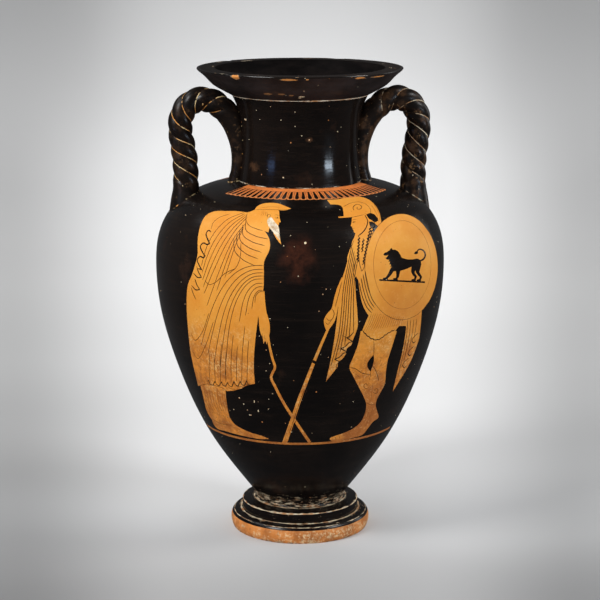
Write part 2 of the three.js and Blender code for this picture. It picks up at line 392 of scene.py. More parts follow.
# the cloak drawn up to the shoulder, in three groups of folds
family([(244.0, 212.2), (227, 219.5), (214.5, 232), (206.0, 248), (201.0, 266)],
       [(247.2, 217.0), (236, 229), (225, 246), (214.5, 268), (203.5, 294)], 5, 0.8)
family([(244.5, 224.0), (233, 239), (222.5, 262), (213.5, 286), (206.5, 306)],
       [(243.0, 228.5), (236, 243), (229.5, 262), (224.5, 278)], 3, 0.75, bend=0.2)
stroke([(229.0, 214.0), (219.0, 217.5), (212.4, 223.5), (211.0, 229.0)], 0.6)
stroke([(240.5, 243.0), (240.0, 256), (236.0, 267), (227.5, 274.5)], 0.7)
family([(245.4, 220.5), (245.6, 230.0), (254.5, 235.8), (267.6, 239.0)],
       [(233.6, 238.5), (234.4, 251), (243.0, 260), (254.5, 265.6)], 5, 0.85)
# from under the forearm, down across hip and thigh
family([(263.4, 265.2), (249, 266.4), (236.5, 272.0), (224.5, 284), (214.5, 302), (205.5, 328), (200.6, 346)],
       [(263.4, 279.0), (254, 279.6), (245.5, 285.5), (236.5, 300), (230.0, 322), (226.5, 350), (224.8, 376)], 5, 0.8, bend=0.2)
family([(263.2, 283.2), (255.6, 283.8), (248.6, 289.5), (243.4, 300), (238.8, 322)],
       [(263.4, 290.4), (258.4, 290.6), (254.0, 296.0), (251.4, 309)], 3, 0.8)
stroke([(204.8, 280.4), (208.6, 284.6), (215.6, 282.0), (224.5, 273.5), (235.0, 268.6)], 0.75)
stroke([(190.4, 333), (194.8, 340.4), (201.8, 332.4), (208.6, 313)], 0.7)
stroke([(192.4, 351), (197.6, 358.6), (204.6, 347), (213.0, 322)], 0.7)
family([(209.6, 352), (208.8, 368), (209.8, 382)], [(250.4, 322), (247.6, 350), (246.6, 382)], 8, 0.72, trim=0.3)
# the cloak's edge down the back, in a row of turned folds
edge = []
for x, y, w in ((210.8, 232.0, 5.0), (206.4, 244.5, 6.4), (203.0, 258.0, 6.0)):
    edge += [(x, y, 1), (x - w * 0.55, y - 1.6), (x - w, y + 1.8), (x - w * 0.72, y + 7.0), (x - w * 0.25, y + 11.6, 1)]
stroke(edge + [(197.6, 268.6)], 1.8, INK)
for x, y in ((201.2, 271.0), (199.4, 283.4)):
    stroke([(x - 4.8, y - 4.6), (x - 3.0, y + 1.2), (x, y + 6.2, 1), (x - 3.6, y + 6.6), (x - 8.2, y + 2.0)], 1.6, INK)
stroke([(190.8, 287.4), (192.6, 292.8), (195.6, 299.6)], 1.3, INK)
# hems
hem = [(207.0, 381.4, 1)]
for k in range(7):
    x, y = 208.6 + 6.3 * k, 382.0 + 0.55 * k - (0.09 * k * k if k > 3 else 0.0)
    hem += [(x, y - 1.6, 1), (x + 1.0, y + 1.6), (x + 4.0, y + 3.4, 1)]
stroke(hem, 1.3, INK)
family([(228.0, 387.0), (231.0, 388.8), (235.4, 389.6)], [(243.0, 384.0), (246.0, 384.6), (250.0, 384.0)], 3, 0.75)
stroke([(198.2, 386), (207, 384.0), (214, 385.6), (222, 387.8), (226.5, 391)], 0.65)
family([(201.5, 390), (205.5, 406), (210.5, 413)], [(224.2, 392), (225.6, 404), (227.8, 412)], 10, 0.45, DILUTE)
for k in range(9):   # beads round the ankle
    stroke([(210.5 + 2.05 * k, 411.4 + 0.62 * k), (210.8 + 2.05 * k, 412.9 + 0.62 * k)], 0.8)
stroke([(211.4, 418.6), (220, 423.4), (231.2, 425.3)], 0.55)
stroke([(264.2, 291.8), (259.0, 292.0), (255.4, 296), (254.6, 303)], 0.85)
stroke([(264.2, 335), (264.8, 340.4)], 0.45)
stroke([(262.2, 333.6), (262.5, 338)], 0.45)
stroke([(257.5, 432.3), (262.8, 436.5)], 0.4)

# ------------------------------------------------------------------ the warrior
shape([(360.5, 331, 1), (357.5, 345), (353, 357), (349.2, 367.6), (352.5, 375.4), (358, 386), (363, 396), (365.8, 403.4),
       (365, 412), (361, 421), (354.5, 427.4), (344, 432.8), (334, 436.2), (329.4, 438.6), (331, 440.9), (340, 440.4),
       (352, 438), (362, 434.8), (367, 429), (372.5, 422), (378, 417.4), (376.8, 411), (375.4, 405.4), (376.8, 399),
       (381, 391), (384.4, 384), (385.6, 372), (387.6, 360), (392, 346), (396.5, 331, 1), (380, 334)], CLAY)
shape([(373.4, 354.6, 1), (369.2, 359.6), (366.8, 364.4), (367.8, 368.4), (370.2, 371.6, 1), (372.3, 366), (373.7, 360)], BLACK)
shape([(369.5, 313, 1), (365, 323), (361.6, 331.6, 1), (366, 335.4), (371, 339.6), (375, 341.9), (380, 340.4),
       (387, 337), (393, 333.2), (396.4, 329, 1), (398.8, 326, 1), (405.6, 326, 1), (407, 314), (405, 306, 1),
       (385, 298), (372, 304)], CLAY)
shape([(404.6, 304, 1), (405.8, 326), (404.2, 340), (401.5, 354), (397.5, 370), (392.4, 391.5, 1), (399, 381),
       (405.5, 370.5), (410.5, 361), (415, 350), (418.8, 338), (420.4, 325), (421.8, 306, 1)], CLAY)
shape([(357, 232.4, 1), (366, 231), (374, 236), (377, 260), (377, 290), (374, 310), (369.5, 317.5, 1), (363.2, 307),
       (359.8, 294), (358, 280, 1), (352, 270), (347, 260), (351, 246)], CLAY)
shape([(357.4, 233.6, 1), (352.5, 240), (350.8, 247), (348.5, 256), (345.5, 267), (342.4, 277), (340, 285), (338.6, 300),
       (336.8, 318), (334.2, 338), (330.4, 360), (325.6, 381.6, 1), (332, 373.6), (337.4, 366.6, 1), (337.8, 363),
       (343.2, 357.6), (345.8, 353.5, 1), (346.4, 348.8), (351, 345), (352.6, 340, 1), (355.4, 333), (357.4, 326),
       (357, 312), (355.6, 296), (354.6, 278, 1), (360, 268), (362, 250)], CLAY)
shape([(341.6, 277, 1), (336.5, 289), (333.4, 300), (331.2, 308.5), (326.4, 314.4), (323.6, 320.5), (324.6, 327),
       (326.6, 331.8, 1), (330, 327.6), (333.6, 322.6), (336, 316), (338, 306), (341.5, 296), (345, 286, 1)], CLAY)
W_AT, W_UNIT, W_TILT = (360.4, 221.6), 10.8, math.radians(-11)
shape(turned(HEAD, W_AT, W_UNIT, W_TILT, True), CLAY)
shape([(355.5, 232, 1), (358, 226), (366, 224), (372, 228), (372, 238), (362, 244), (353, 241, 1)], CLAY)
shape([(326.6, 199.8, 1), (338, 199.2), (348, 197.2), (358, 196.6), (367, 198.8), (374.5, 204.8), (379, 212.6),
       (380.8, 221), (381.2, 229, 1), (377.2, 225.6), (372.5, 222.8), (367.5, 221, 1), (366, 214.5), (358, 215.4),
       (350, 216.2), (343.4, 216.6, 1), (343, 211), (341.6, 206.6), (338, 204.8), (330, 204.3, 1)], CLAY)
bar([(338.2, 217.2), (345, 216.9), (355, 215.6), (363.5, 213.6)], 1.3, 1.8, CLAY)
shape([(366.0, 214.6, 1), (370, 213.0), (375, 215.2), (377.8, 220.4), (374.4, 222.6, 1), (371, 220), (368.4, 218.4)], BLACK)
shape([(368.6, 221.6, 1), (372.4, 221.8), (375.6, 224.6), (373.4, 227.4), (369.6, 225.4)], BLACK)
stroke([(338.4, 218.0), (345, 217.8), (355, 216.6), (363.6, 214.6)], 0.6)
stroke([(343, 206.8), (350, 203.2), (358, 201.9), (366, 204.4), (370.4, 210.2), (369.4, 214.6), (364.4, 213.4)], 0.6)
scroll = [(358 + (6.4 - 0.52 * i) * math.cos(0.75 * i + 2.4) * 0.9, 207.6 + (4.2 - 0.34 * i) * math.sin(0.75 * i + 2.4)) for i in range(12)]
stroke(scroll, 0.9)
family([(371, 205), (376, 213), (378.4, 222)], [(373.4, 204), (378, 212), (380, 221)], 2, 0.35, DILUTE)
head_lines(W_AT, W_UNIT, W_TILT, True, ear=False)
# long locks of hair, each a row of small waves
stroke([(364.5, 214.8), (367.4, 221), (365.6, 228), (361.4, 233.2), (357.6, 236)], 1.4, INK)
for x0, y0, x1, y1, wave in ((358.8, 236.5, 357.4, 262.5, 0.95), (363.4, 238.5, 361.6, 252.0, 0.8), (370.6, 226.0, 362.8, 264.5, 1.0),
                             (374.6, 224.6, 368.2, 240.0, 0.9)):
    n = int((y1 - y0) / 1.55)
    lock = [(x0 + (x1 - x0) * i / n + (wave if i % 2 else -wave), y0 + (y1 - y0) * i / n) for i in range(n + 1)]
    stroke(lock, 2.0, INK, step=0.8)
# cloak and tunic
family([(351.8, 244), (347.4, 266), (343.2, 288), (340.9, 314), (338.2, 336), (330.6, 366)],
       [(357.0, 262), (354.6, 276), (353.2, 296), (353.4, 332)], 6, 1.0)
family([(337.4, 350), (340.0, 347.6), (344.4, 349)], [(341.0, 335), (346.0, 337.4), (350.6, 338)], 2, 0.6)
# its corner hangs in a stack of turned folds
stack = []
for x, y, w in ((352.4, 333.6, 6.2), (347.6, 344.4, 7.4), (342.0, 355.0, 8.0)):
    stack += [(x + 1.2, y - 2.0, 1), (x - w * 0.4, y + 2.4), (x - w, y + 4.2, 1), (x - w * 0.35, y + 6.6), (x + 0.4, y + 8.0, 1)]
stroke(stack, 1.5, INK)
stroke([(339.6, 360.4), (336.0, 365.6), (337.0, 370.0)], 0.7)
family([(358.8, 282), (361.6, 295), (366.4, 307), (371.4, 313)], [(364.6, 270), (367.6, 285), (371.4, 298), (375.6, 305)], 4, 1.1)
stroke([(358.4, 254), (359.4, 264), (361.4, 271.4, 1), (363.6, 268.0), (364.4, 261.0)], 0.75)
stroke([(353.6, 240), (350.8, 248), (350.0, 255)], 0.6)
stroke([(355.0, 262.0), (353.2, 270), (354.4, 278)], 0.6)
family([(371.4, 313), (367.4, 324), (363.4, 331.4)], [(403.4, 317), (401.8, 321), (401, 325)], 17, 0.42, DILUTE)
hem = []
at = [(362.4, 330.0), (365.2, 333.4), (368.6, 336.4), (372.4, 338.6), (377.0, 339.4), (381.0, 337.6), (384.4, 334.8), (387.8, 332.6), (391.4, 330.6), (395.0, 329.0)]
for (x, y), (x2, y2) in zip(at, at[1:]):
    hem += [(x, y, 1), (x + (x2 - x) * 0.3, y + (y2 - y) * 0.3 + 0.9), (x + (x2 - x) * 0.75, y + (y2 - y) * 0.75 + 0.8)]
stroke(hem + [at[-1] + (1,)], 1.4, INK, step=0.8)
family([(407.4, 320), (406.4, 334), (403.4, 352), (398.6, 372)], [(416.4, 319), (415.2, 330), (413.6, 338)], 4, 1.0)
for x, y in ((416.4, 336.6), (412.4, 349.4), (407.0, 361.4)):
    stroke([(x + 1.6, y - 3.6), (x - 3.6, y + 1.4), (x - 4.8, y + 4.0, 1), (x - 3.2, y + 6.4), (x - 0.6, y + 4.0)], 1.4, INK)
# legs
stroke([(373.6, 341.0), (373.7, 348), (373.5, 354.6)], 0.8)
stroke([(370.2, 371.6), (370.0, 376), (369.2, 380)], 0.7)
stroke([(372.4, 365.6), (375.6, 371.0), (378.6, 380.6)], 0.75)
stroke([(349.4, 367.6), (355.0, 368.6), (361.4, 373.0), (369.6, 374.6)], 0.85)
stroke([(351.6, 371.6), (356.0, 374.4), (360.2, 378.0)], 0.45, DILUTE)
for cx, cy, d in ((365.8, 385.6, 1), (375.6, 390.4, -1)):   # spirals on the greaves
    stroke([(cx + d * (3.1 - 0.27 * i) * math.cos(0.8 * i + 0.6), cy + (3.4 - 0.30 * i) * math.sin(0.8 * i + 0.6)) for i in range(10)], 0.7)
stroke([(366.2, 402.6), (370.6, 404.8), (375.6, 403.6)], 0.6)
stroke([(372.8, 383), (371.4, 392), (371.6, 400)], 0.5, DILUTE)
family([(366.6, 410), (362.6, 419), (356, 427)], [(372, 409), (369.6, 417), (364.2, 427.4)], 3, 0.45, DILUTE)
stroke([(334.6, 436.6), (336, 439.8)], 0.6)
stroke([(338.4, 435.4), (339.8, 438.8)], 0.6)
# forearm and hand
stroke([(341.4, 282), (337.8, 296), (334.8, 307)], 0.75)
stroke([(331.4, 308.6), (333.8, 312.6), (332.6, 318.0), (328.6, 323.0)], 0.75)
stroke([(325.8, 317.6), (328.6, 320.6), (331.6, 318.8)], 0.7)
stroke([(324.8, 321.8), (327.4, 324.4), (330.0, 322.8)], 0.65)

# ----------------------------------------------------------- shield and device
SHIELD, SHIELD_RX, SHIELD_RY = (401.0, 266.8), 36.4, 53.0
shape([(SHIELD[0] + SHIELD_RX * math.cos(2 * math.pi * i / 26), SHIELD[1] + SHIELD_RY * math.sin(2 * math.pi * i / 26)) for i in range(26)], CLAY)
stroke([(SHIELD[0] + SHIELD_RX * math.cos(2 * math.pi * i / 26), SHIELD[1] + SHIELD_RY * math.sin(2 * math.pi * i / 26)) for i in range(3, 24)], 0.55)
stroke([(SHIELD[0] + 1.0 + 28.8 * math.cos(2 * math.pi * i / 26), SHIELD[1] - 2.0 + 44.2 * math.sin(2 * math.pi * i / 26)) for i in range(27)], 0.36, DILUTE)
DEVICE = (402.0, 267.0)      # middle of the device; it is drawn in a scale of its own, y up


def device(points):
    return [(DEVICE[0] + p[0], DEVICE[1] - p[1] + 0.05 * p[0]) + tuple(p[2:]) for p in points]


# a lion walking: body, haunch, mane with its tufts, head with open jaws, legs, tail
shape(device([(-6, 10.4), (-1, 9.4), (5, 8.0), (10.5, 8.2), (15, 9.2), (18.0, 7.4), (18.8, 3.2), (17.0, -0.6), (13, 1.2), (9, 0.6),
              (4, -1.8), (-1, -3.6), (-6, -4.4), (-9, -2), (-9.5, 3)]), BLACK, step=0.6)
mane = [(-1.2, 10.6), (-3.4, 14.4), (-6.6, 16.8), (-10.0, 16.9, 1), (-10.4, 18.4), (-12.2, 17.6, 1), (-12.4, 15.6), (-13.2, 11.0), (-12.8, 7.0)]
for x, y in ((-12.4, 4.6), (-11.6, 2.0), (-10.6, -0.6), (-9.0, -2.9), (-6.8, -4.6)):
    mane += [(x - 0.9, y + 1.5), (x - 1.5, y - 0.2, 1), (x + 0.1, y + 0.2, 1)]
shape(device(mane + [(-3.6, -4.4), (0.6, -1.6), (1.6, 4.0)]), BLACK, step=0.5)
shape(device([(-11.6, 16.4), (-13.8, 15.6), (-15.4, 14.2), (-17.8, 13.2), (-18.9, 11.9, 1), (-18.2, 10.6), (-16.2, 10.6), (-14.0, 11.2, 1),
              (-15.4, 9.2), (-16.8, 8.4, 1), (-15.8, 7.0), (-13.6, 6.6), (-11.4, 7.4), (-10.4, 11.6)]), BLACK, step=0.5)
bar(device([(-7.4, -0.6), (-10.4, -3.8), (-12.2, -7.2), (-15.0, -11.0), (-16.2, -12.2)]), 5.2, 1.9, BLACK)
shape(device([(-15.0, -11.2), (-17.6, -11.4), (-19.4, -12.2), (-19.0, -13.3), (-14.6, -13.3)]), BLACK, step=0.5)
bar(device([(-3.6, -1.4), (-4.4, -5.8), (-4.6, -9.4), (-6.0, -12.2)]), 5.0, 1.9, BLACK)
shape(device([(-5.0, -11.4), (-7.6, -11.4), (-9.4, -12.2), (-9.0, -13.3), (-4.6, -13.3)]), BLACK, step=0.5)
for x in (0.0, 5.2):
    bar(device([(13.0 + x * 0.55, 4.4), (11.6 + x * 0.75, -0.6), (10.4 + x * 0.9, -4.4)]), 6.6, 3.6, BLACK)
    bar(device([(10.3 + x * 0.9, -3.6), (11.8 + x, -7.0), (13.4 + x, -9.0), (12.2 + x, -12.2)]), 3.4, 1.8, BLACK)
    shape(device([(13.4 + x, -11.2), (10.8 + x, -11.4), (9.0 + x, -12.3), (9.4 + x, -13.3), (13.2 + x, -13.3)]), BLACK, step=0.5)
bar(device([(17.4, 6.8), (21.0, 8.8), (23.0, 13.0), (21.2, 17.4), (17.0, 18.6), (14.6, 16.0)]), 1.9, 1.1, BLACK)
shape(device([(15.2, 16.6), (13.2, 16.2), (11.6, 13.8, 1), (13.4, 13.4), (15.6, 14.4)]), BLACK, step=0.5)
bar(device([(-23.0, -14.1), (0, -14.1), (22.6, -14.1)]), 1.7, 1.7, BLACK)

# ------------------------------------------------------------- staff and spear
bar([(267.2, 333), (269.2, 346), (272.0, 358), (274.6, 367.5), (272.4, 372.6), (270.8, 377.2), (275.0, 387), (284, 404),
     (293, 418), (301, 430), (309.6, 442.6)], 2.3, 2.9, CLAY)
bar([(328.4, 327.5), (318.6, 350), (307.2, 378.5), (298.6, 401), (291.2, 423), (284.2, 443.2)], 2.3, 5.0, CLAY)
stroke([(304.6, 388.6), (298.4, 404.8), (292.6, 422.6), (288.6, 434)], 0.6)
stroke([(306.9, 389.6), (300.4, 405.6), (295.2, 422.6), (291.2, 434)], 0.6)
bar([(313.4, 363.4), (314.6, 360.8)], 3.6, 3.6, BLACK)


# ---------------------------------------------------- the reverse, one figure
# Millimetres from the middle of that side, to the right as it is looked at,
# and height above the foot.
def rshape(points, mat):
    shape(points, mat, rear, 2.0)


def rstroke(points, width=0.6, kind=RELIEF):
    stroke(points, width, kind, rear, 2.4)


R_AT, R_UNIT, R_TILT = (-8.0, 392.0), 17.5, math.radians(4)


def rear_head(points):
    out = []
    c, s = math.cos(R_TILT), math.sin(R_TILT)
    for p in points:
        x, y = -p[0] * R_UNIT, p[1] * R_UNIT
        out.append((R_AT[0] + c * x - s * y, R_AT[1] + s * x + c * y) + tuple(p[2:]))
    return out


rshape([(-30, 172, 1), (-31, 160), (-36, 152), (-48, 148.6), (-56, 147.6, 1), (-54, 150.8), (-44, 156), (-37, 166), (-33, 180), (-20, 178, 1)], CLAY)
rshape([(8, 172, 1), (10, 160), (4, 152), (-10, 148.8), (-18, 147.6, 1), (26, 147.6), (33, 151), (31, 160), (29, 178, 1)], CLAY)
rshape([(-2, 372, 1), (12, 371), (27, 362), (35, 345), (38, 322), (41, 296), (43, 262), (42, 228), (40, 198), (37, 176, 1),
        (24, 172), (10, 176), (-6, 171), (-22, 176), (-36, 173, 1), (-38, 200), (-37, 232), (-35, 262), (-37, 288),
        (-39, 312), (-35, 338), (-27, 358), (-16, 369, 1)], CLAY)
rshape([(-34, 318, 1), (-44, 309), (-53, 303), (-59, 300.5), (-64, 303), (-66, 297.4), (-60, 292), (-50, 293.6), (-40, 299), (-33, 304, 1)], CLAY)
rshape(rear_head(HEAD), CLAY)
rshape([(-14, 376, 1), (-12, 366, 1), (2, 366, 1), (3, 380, 1)], CLAY)
rshape(rear_head([(-0.60, -0.52, 1), (-0.98, -0.15), (-1.03, 0.35), (-0.80, 0.86), (-0.25, 1.16), (0.35, 1.08), (0.74, 0.70),
                  (0.70, 0.52), (0.46, 0.50), (0.22, 0.36), (0.10, 0.22), (0.02, -0.04), (-0.20, -0.28)]), BLACK)
rshape([(-61.2, 408, 1), (-63.6, 408, 1), (-63.6, 148, 1), (-60.4, 148, 1)], CLAY)
for q in EYE:
    rstroke(rear_head(q), 0.55)
rshape(rear_head(IRIS), BLACK)
rstroke(rear_head(LIPS), 0.55)
rstroke([(-16, 369), (-9, 362), (2, 361), (12, 366), (20, 368)], 0.65)
family([(16, 369), (6, 352), (-8, 340), (-24, 333), (-35, 330)], [(32, 352), (24, 330), (8, 312), (-12, 300), (-34, 294)], 6, 0.6, RELIEF, rear)
family([(-34, 292), (-16, 284), (2, 262), (12, 230), (14, 200), (12, 180)], [(-36, 268), (-30, 240), (-30, 210), (-32, 178)], 7, 0.6, RELIEF, rear, bend=0.2)
family([(37, 338), (26, 300), (22, 250), (22, 210), (24, 176)], [(39.5, 315), (38, 280), (38, 240), (35, 180)], 5, 0.6, RELIEF, rear)
rstroke([(-34, 317), (-30, 309), (-33, 304)], 0.6)
edge = []
for k in range(8):
    x = 37 - 9.4 * k
    edge += [(x, 178, 1), (x - 3.4, 182.6), (x - 6.2, 179, 1)]
rstroke(edge, 0.6)
print("drawing: shapes", len(shapes), "strokes", len(strokes))


# ---------------------------------------------------------------- body mesh
N = 192

M_BLACK, M_CLAY, M_WHITE, M_HANDLE, M_FOOT, M_INSIDE, M_THROAT = range(7)
PI_X = math.pi * FLAT_R


def in_polygon(px, py, poly):
    inside = np.zeros(len(px), bool)
    x0, y0 = poly[:, 0], poly[:, 1]
    x1, y1 = np.roll(x0, -1), np.roll(y0, -1)
    for a, b, c, d in zip(x0, y0, x1, y1):
        if b == d:
            continue
        cross = (b > py) != (d > py)
        inside ^= cross & (px < (c - a) * (py - b) / (d - b) + a)
    return inside


def wall_panel():
    """The whole painted wall, cut along every outline on its drawing plane."""
    rows = int(round((S1 - S0) / 0.0062))
    xs = np.linspace(-PI_X, PI_X, N + 1)
    ss = np.linspace(S0, S1, rows + 1)
    pts, edges = [], []
    for outline, _ in shapes:
        step = np.hypot(*(outline - np.roll(outline, 1, axis=0)).T)
        keep = outline[step > 0.00012]
        base = len(pts)
        pts += [tuple(q) for q in keep]
        edges += [(base + i, base + (i + 1) % len(keep)) for i in range(len(keep))]
    drawn = np.array(pts)
    tree = KDTree(len(drawn))
    for i, q in enumerate(drawn):
        tree.insert((q[0], q[1], 0.0), i)
    tree.balance()
    grid = []
    for j, s in enumerate(ss):
        for i, x in enumerate(xs):
            rim = i in (0, N) or j in (0, rows)
            if not rim and tree.find((x, s, 0.0))[2] < 0.0019:
                continue
            grid.append((x, s))
    every = np.concatenate([drawn, np.array(grid)]) * 1000.0
    verts, _, tris, *_ = delaunay_2d_cdt([Vector(q) for q in every], edges, [], 0, 1e-4)
    verts = np.array([tuple(v) for v in verts]) / 1000.0
    tris = np.array([t for t in tris], int)
    a, b, c = (verts[tris[:, k]] for k in range(3))
    area = (b[:, 0] - a[:, 0]) * (c[:, 1] - a[:, 1]) - (b[:, 1] - a[:, 1]) * (c[:, 0] - a[:, 0])
    tris = tris[np.abs(area) > 1e-13]
    area = area[np.abs(area) > 1e-13]
    tris[area < 0] = tris[area < 0][:, ::-1]
    mid = verts[tris].mean(axis=1)
    mat = np.zeros(len(tris), int)
    for outline, m in shapes:
        lo, hi = outline.min(0), outline.max(0)
        near = np.flatnonzero((mid[:, 0] > lo[0]) & (mid[:, 0] < hi[0]) & (mid[:, 1] > lo[1]) & (mid[:, 1] < hi[1]))
        if len(near):
            mat[near[in_polygon(mid[near, 0], mid[near, 1], outline)]] = m
    return verts, tris, mat


# the nicks in the lip: angle, half width, depth
def lip_angle(x):
    return math.radians(-94.5) + math.asin((x - AXIS_X) / 103.6)


NICKS = [(lip_angle(236.5), 0.055, 1.9), (lip_angle(288.0), 0.075, 0.8), (lip_angle(306.6), 0.022, 0.9),
         (lip_angle(372.0), 0.05, 0.5), (1.1, 0.06, 0.9), (2.3, 0.03, 1.2)]


def nick_depth(theta):
    deep = np.zeros_like(theta)
    for c, w, d in NICKS:
        u = np.abs((theta - c + math.pi) % (2 * math.pi) - math.pi) / w
        rough = 0.75 + 0.25 * np.sin(theta * 97.0 + c * 13.0)
        deep = np.maximum(deep, d * rough * np.clip(1.35 - u, 0, 1) ** 0.6)
    return deep * MM


verts, faces, mats, uvs = [], [], [], []


def uv_box(region, u, v):
    """u and v from 0 to 1, put in one rectangle of the bake's sheet."""
    x0, y0, x1, y1 = UV_BOXES[region]
    m = 0.004
    return (x0 + m + np.clip(u, 0, 1) * (x1 - x0 - 2 * m), y0 + m + np.clip(v, 0, 1) * (y1 - y0 - 2 * m))


UV_BOXES = {"front": (0, 0.42, 1, 1), "back": (0, 0.24, 0.5, 0.42), "neck": (0.5, 0.24, 1, 0.42), "handle0": (0, 0.12, 0.5, 0.24),
            "handle1": (0, 0, 0.5, 0.12), "foot": (0.5, 0.13, 1, 0.24), "inside": (0.5, 0, 0.8, 0.13), "under": (0.8, 0, 1, 0.13)}

pv, pt, pm = wall_panel()
theta = pv[:, 0] / FLAT_R
pr, pz = on_wall(pv[:, 1])
verts = [np.stack([pr * np.cos(theta), pr * np.sin(theta), pz], 1)]
seam_hi = np.flatnonzero(pv[:, 0] > PI_X - 1e-7)
seam_lo = np.flatnonzero(pv[:, 0] < -PI_X + 1e-7)
seam_hi = seam_hi[np.argsort(pv[seam_hi, 1])]
seam_lo = seam_lo[np.argsort(pv[seam_lo, 1])]
assert len(seam_hi) == len(seam_lo), "the two sides of the seam differ"
merge = np.arange(len(pv))
merge[seam_hi] = seam_lo
# the bake's own map, taken on the plane before the seam is closed
cx = pv[pt, 0].mean(axis=1)
tu, tv = pv[pt, 0] / PI_X, (pv[pt, 1] - S0) / (S1 - S0)
fu, fv = uv_box("front", tu + 1.0, tv)
bu, bv = uv_box("back", tu, tv)
side = (cx < 0)[:, None]
uvs.append(np.stack([np.where(side, fu, bu), np.where(side, fv, bv)], 2).reshape(-1, 2))
faces.append(merge[pt])
mats.append(pm)
count = len(pv)


def border(s):
    on = np.flatnonzero(np.abs(pv[:, 1] - s) < 1e-7)
    on = on[np.argsort(pv[on, 0])]
    assert len(on) == N + 1, "a border row has extra points"
    return merge[on[:N]]


row_low, row_high = border(S0), border(S1)
ring_theta = -math.pi + 2 * math.pi * np.arange(N) / N


def ring(r, z):
    """A new row of the turned surface."""
    global count
    verts.append(np.stack([r * np.cos(ring_theta), r * np.sin(ring_theta), z * np.ones(N)], 1))
    idx = np.arange(count, count + N)
    count += N
    return idx


def strip(lower_row, upper_row, mat, region, v0, v1):
    k = np.arange(N)
    a, b, c, d = lower_row[k], lower_row[(k + 1) % N], upper_row[(k + 1) % N], upper_row[k]
    faces.append(np.concatenate([np.stack([a, b, c], 1), np.stack([a, c, d], 1)]))
    mats.append(np.full(2 * N, mat))
    u0, u1 = k / N, (k + 1) / N
    one, two = np.full(N, v0), np.full(N, v1)
    t1 = np.stack([np.stack(uv_box(region, u0, one), 1), np.stack(uv_box(region, u1, one), 1), np.stack(uv_box(region, u1, two), 1)], 1)
    t2 = np.stack([np.stack(uv_box(region, u0, one), 1), np.stack(uv_box(region, u1, two), 1), np.stack(uv_box(region, u0, two), 1)], 1)
    uvs.append(np.concatenate([t1, t2]).reshape(-1, 2))


def fan(row, z, up, mat, region):
    """Closes a row on the axis."""
    global count
    verts.append(np.array([[0.0, 0.0, z]]))
    k = np.arange(N)
    a, b, c = row[k], row[(k + 1) % N], np.full(N, count)
    count += 1
    faces.append(np.stack([a, b, c] if up else [b, a, c], 1))
    mats.append(np.full(N, mat))
    q0, q1 = np.stack(uv_box(region, k / N, np.zeros(N)), 1), np.stack(uv_box(region, (k + 1) / N, np.zeros(N)), 1)
    qc = np.stack(uv_box(region, (k + 0.5) / N, np.full(N, 0.0)), 1)
    uvs.append(np.stack([q0, q1, qc] if up else [q1, q0, qc], 1).reshape(-1, 2))


def turn(profile, first, mat, region, last=None):
    """Rows along a profile in millimetres, from a row that is there to one that is there or a new one."""
    p = np.array(profile) * MM
    row = first
    n = len(p) + (1 if last is not None else 0)
    for i, (r, z) in enumerate(p):
        new = ring(r, z)
        if row is not None:
            strip(row, new, mat(z) if callable(mat) else mat, region, i / n, (i + 1) / n)
        row = new
    if last is not None:
        strip(row, last, mat(p[-1][1]) if callable(mat) else mat, region, (n - 1) / n, 1.0)
    return row


low_row = ring(under[0][0] * MM, under[0][1] * MM)
fan(low_row, under[0][1] * MM, False, M_FOOT, "under")
row = turn(under[1:], low_row, M_FOOT, "under")
row = turn([(71.5, 0.0), (78.0, 0.0), (84.5, 0.0)], row, M_FOOT, "under")
row = turn(np.concatenate([lower, upper[1:], shelf]), row, lambda z: M_FOOT if z < 0.0182 else M_BLACK, "foot", row_low)
row = turn(np.concatenate([neck[1:], mouth, lip]), row_high, M_BLACK, "neck")
row = turn(in_neck, row, M_THROAT, "inside")
row = turn(in_body[1:], row, M_INSIDE, "inside")
fan(row, in_body[-1][1] * MM, True, M_INSIDE, "inside")
verts = np.concatenate(verts)
faces = np.concatenate(faces)
mats = np.concatenate(mats)
uvs = np.concatenate(uvs)

# nicks bite down and in from the lip's outer edge
rim = np.hypot(verts[:, 0], verts[:, 1])
edge_near = np.clip(1.0 - np.hypot(rim - 0.130, (verts[:, 2] - 0.5995)) / 0.0042, 0, 1)
bite = nick_depth(np.arctan2(verts[:, 1], verts[:, 0])) * edge_near
verts[:, :2] *= (1 - bite / np.maximum(rim, 1e-6))[:, None]
verts[:, 2] -= bite * 0.9


def to_mesh(name, v, f, slots=None, uv=None):
    m = bpy.data.meshes.new(name)
    m.vertices.add(len(v))
    m.vertices.foreach_set("co", v.astype(np.float32).ravel())
    m.loops.add(3 * len(f))
    m.loops.foreach_set("vertex_index", f.astype(np.int32).ravel())
    m.polygons.add(len(f))
    m.polygons.foreach_set("loop_start", np.arange(0, 3 * len(f), 3, dtype=np.int32))
    m.polygons.foreach_set("loop_total", np.full(len(f), 3, dtype=np.int32))
    if slots is not None:
        m.polygons.foreach_set("material_index", slots.astype(np.int32))
    if uv is not None:
        layer = m.uv_layers.new(name="OFBake")
        layer.data.foreach_set("uv", uv.astype(np.float32).ravel())
    m.update(calc_edges=True)
    m.validate()
    return m


# ------------------------------------------------------------------ handles
ROUTE = [(143, 404, 23.5), (144.6, 418, 22.3), (145.4, 431, 19.4), (145, 445, 16.9), (145, 461, 15.7), (145.4, 480, 15.8),
         (147.6, 498, 15.6), (150.6, 516, 15), (151, 532, 15), (146, 547, 15.2), (136, 557, 15.4), (123, 560.5, 15.5),
         (110, 557.5, 15.4), (98, 549, 15.2), (86.5, 535, 15), (79, 517, 14), (75.6, 500, 12.8), (76, 484, 11),
         (79, 468, 9.2), (83, 455, 9), (84, 448, 8)]
STEPS, SIDES = 250, 48
TWIST_PITCH, TWIST_START = 57.0, 3.0


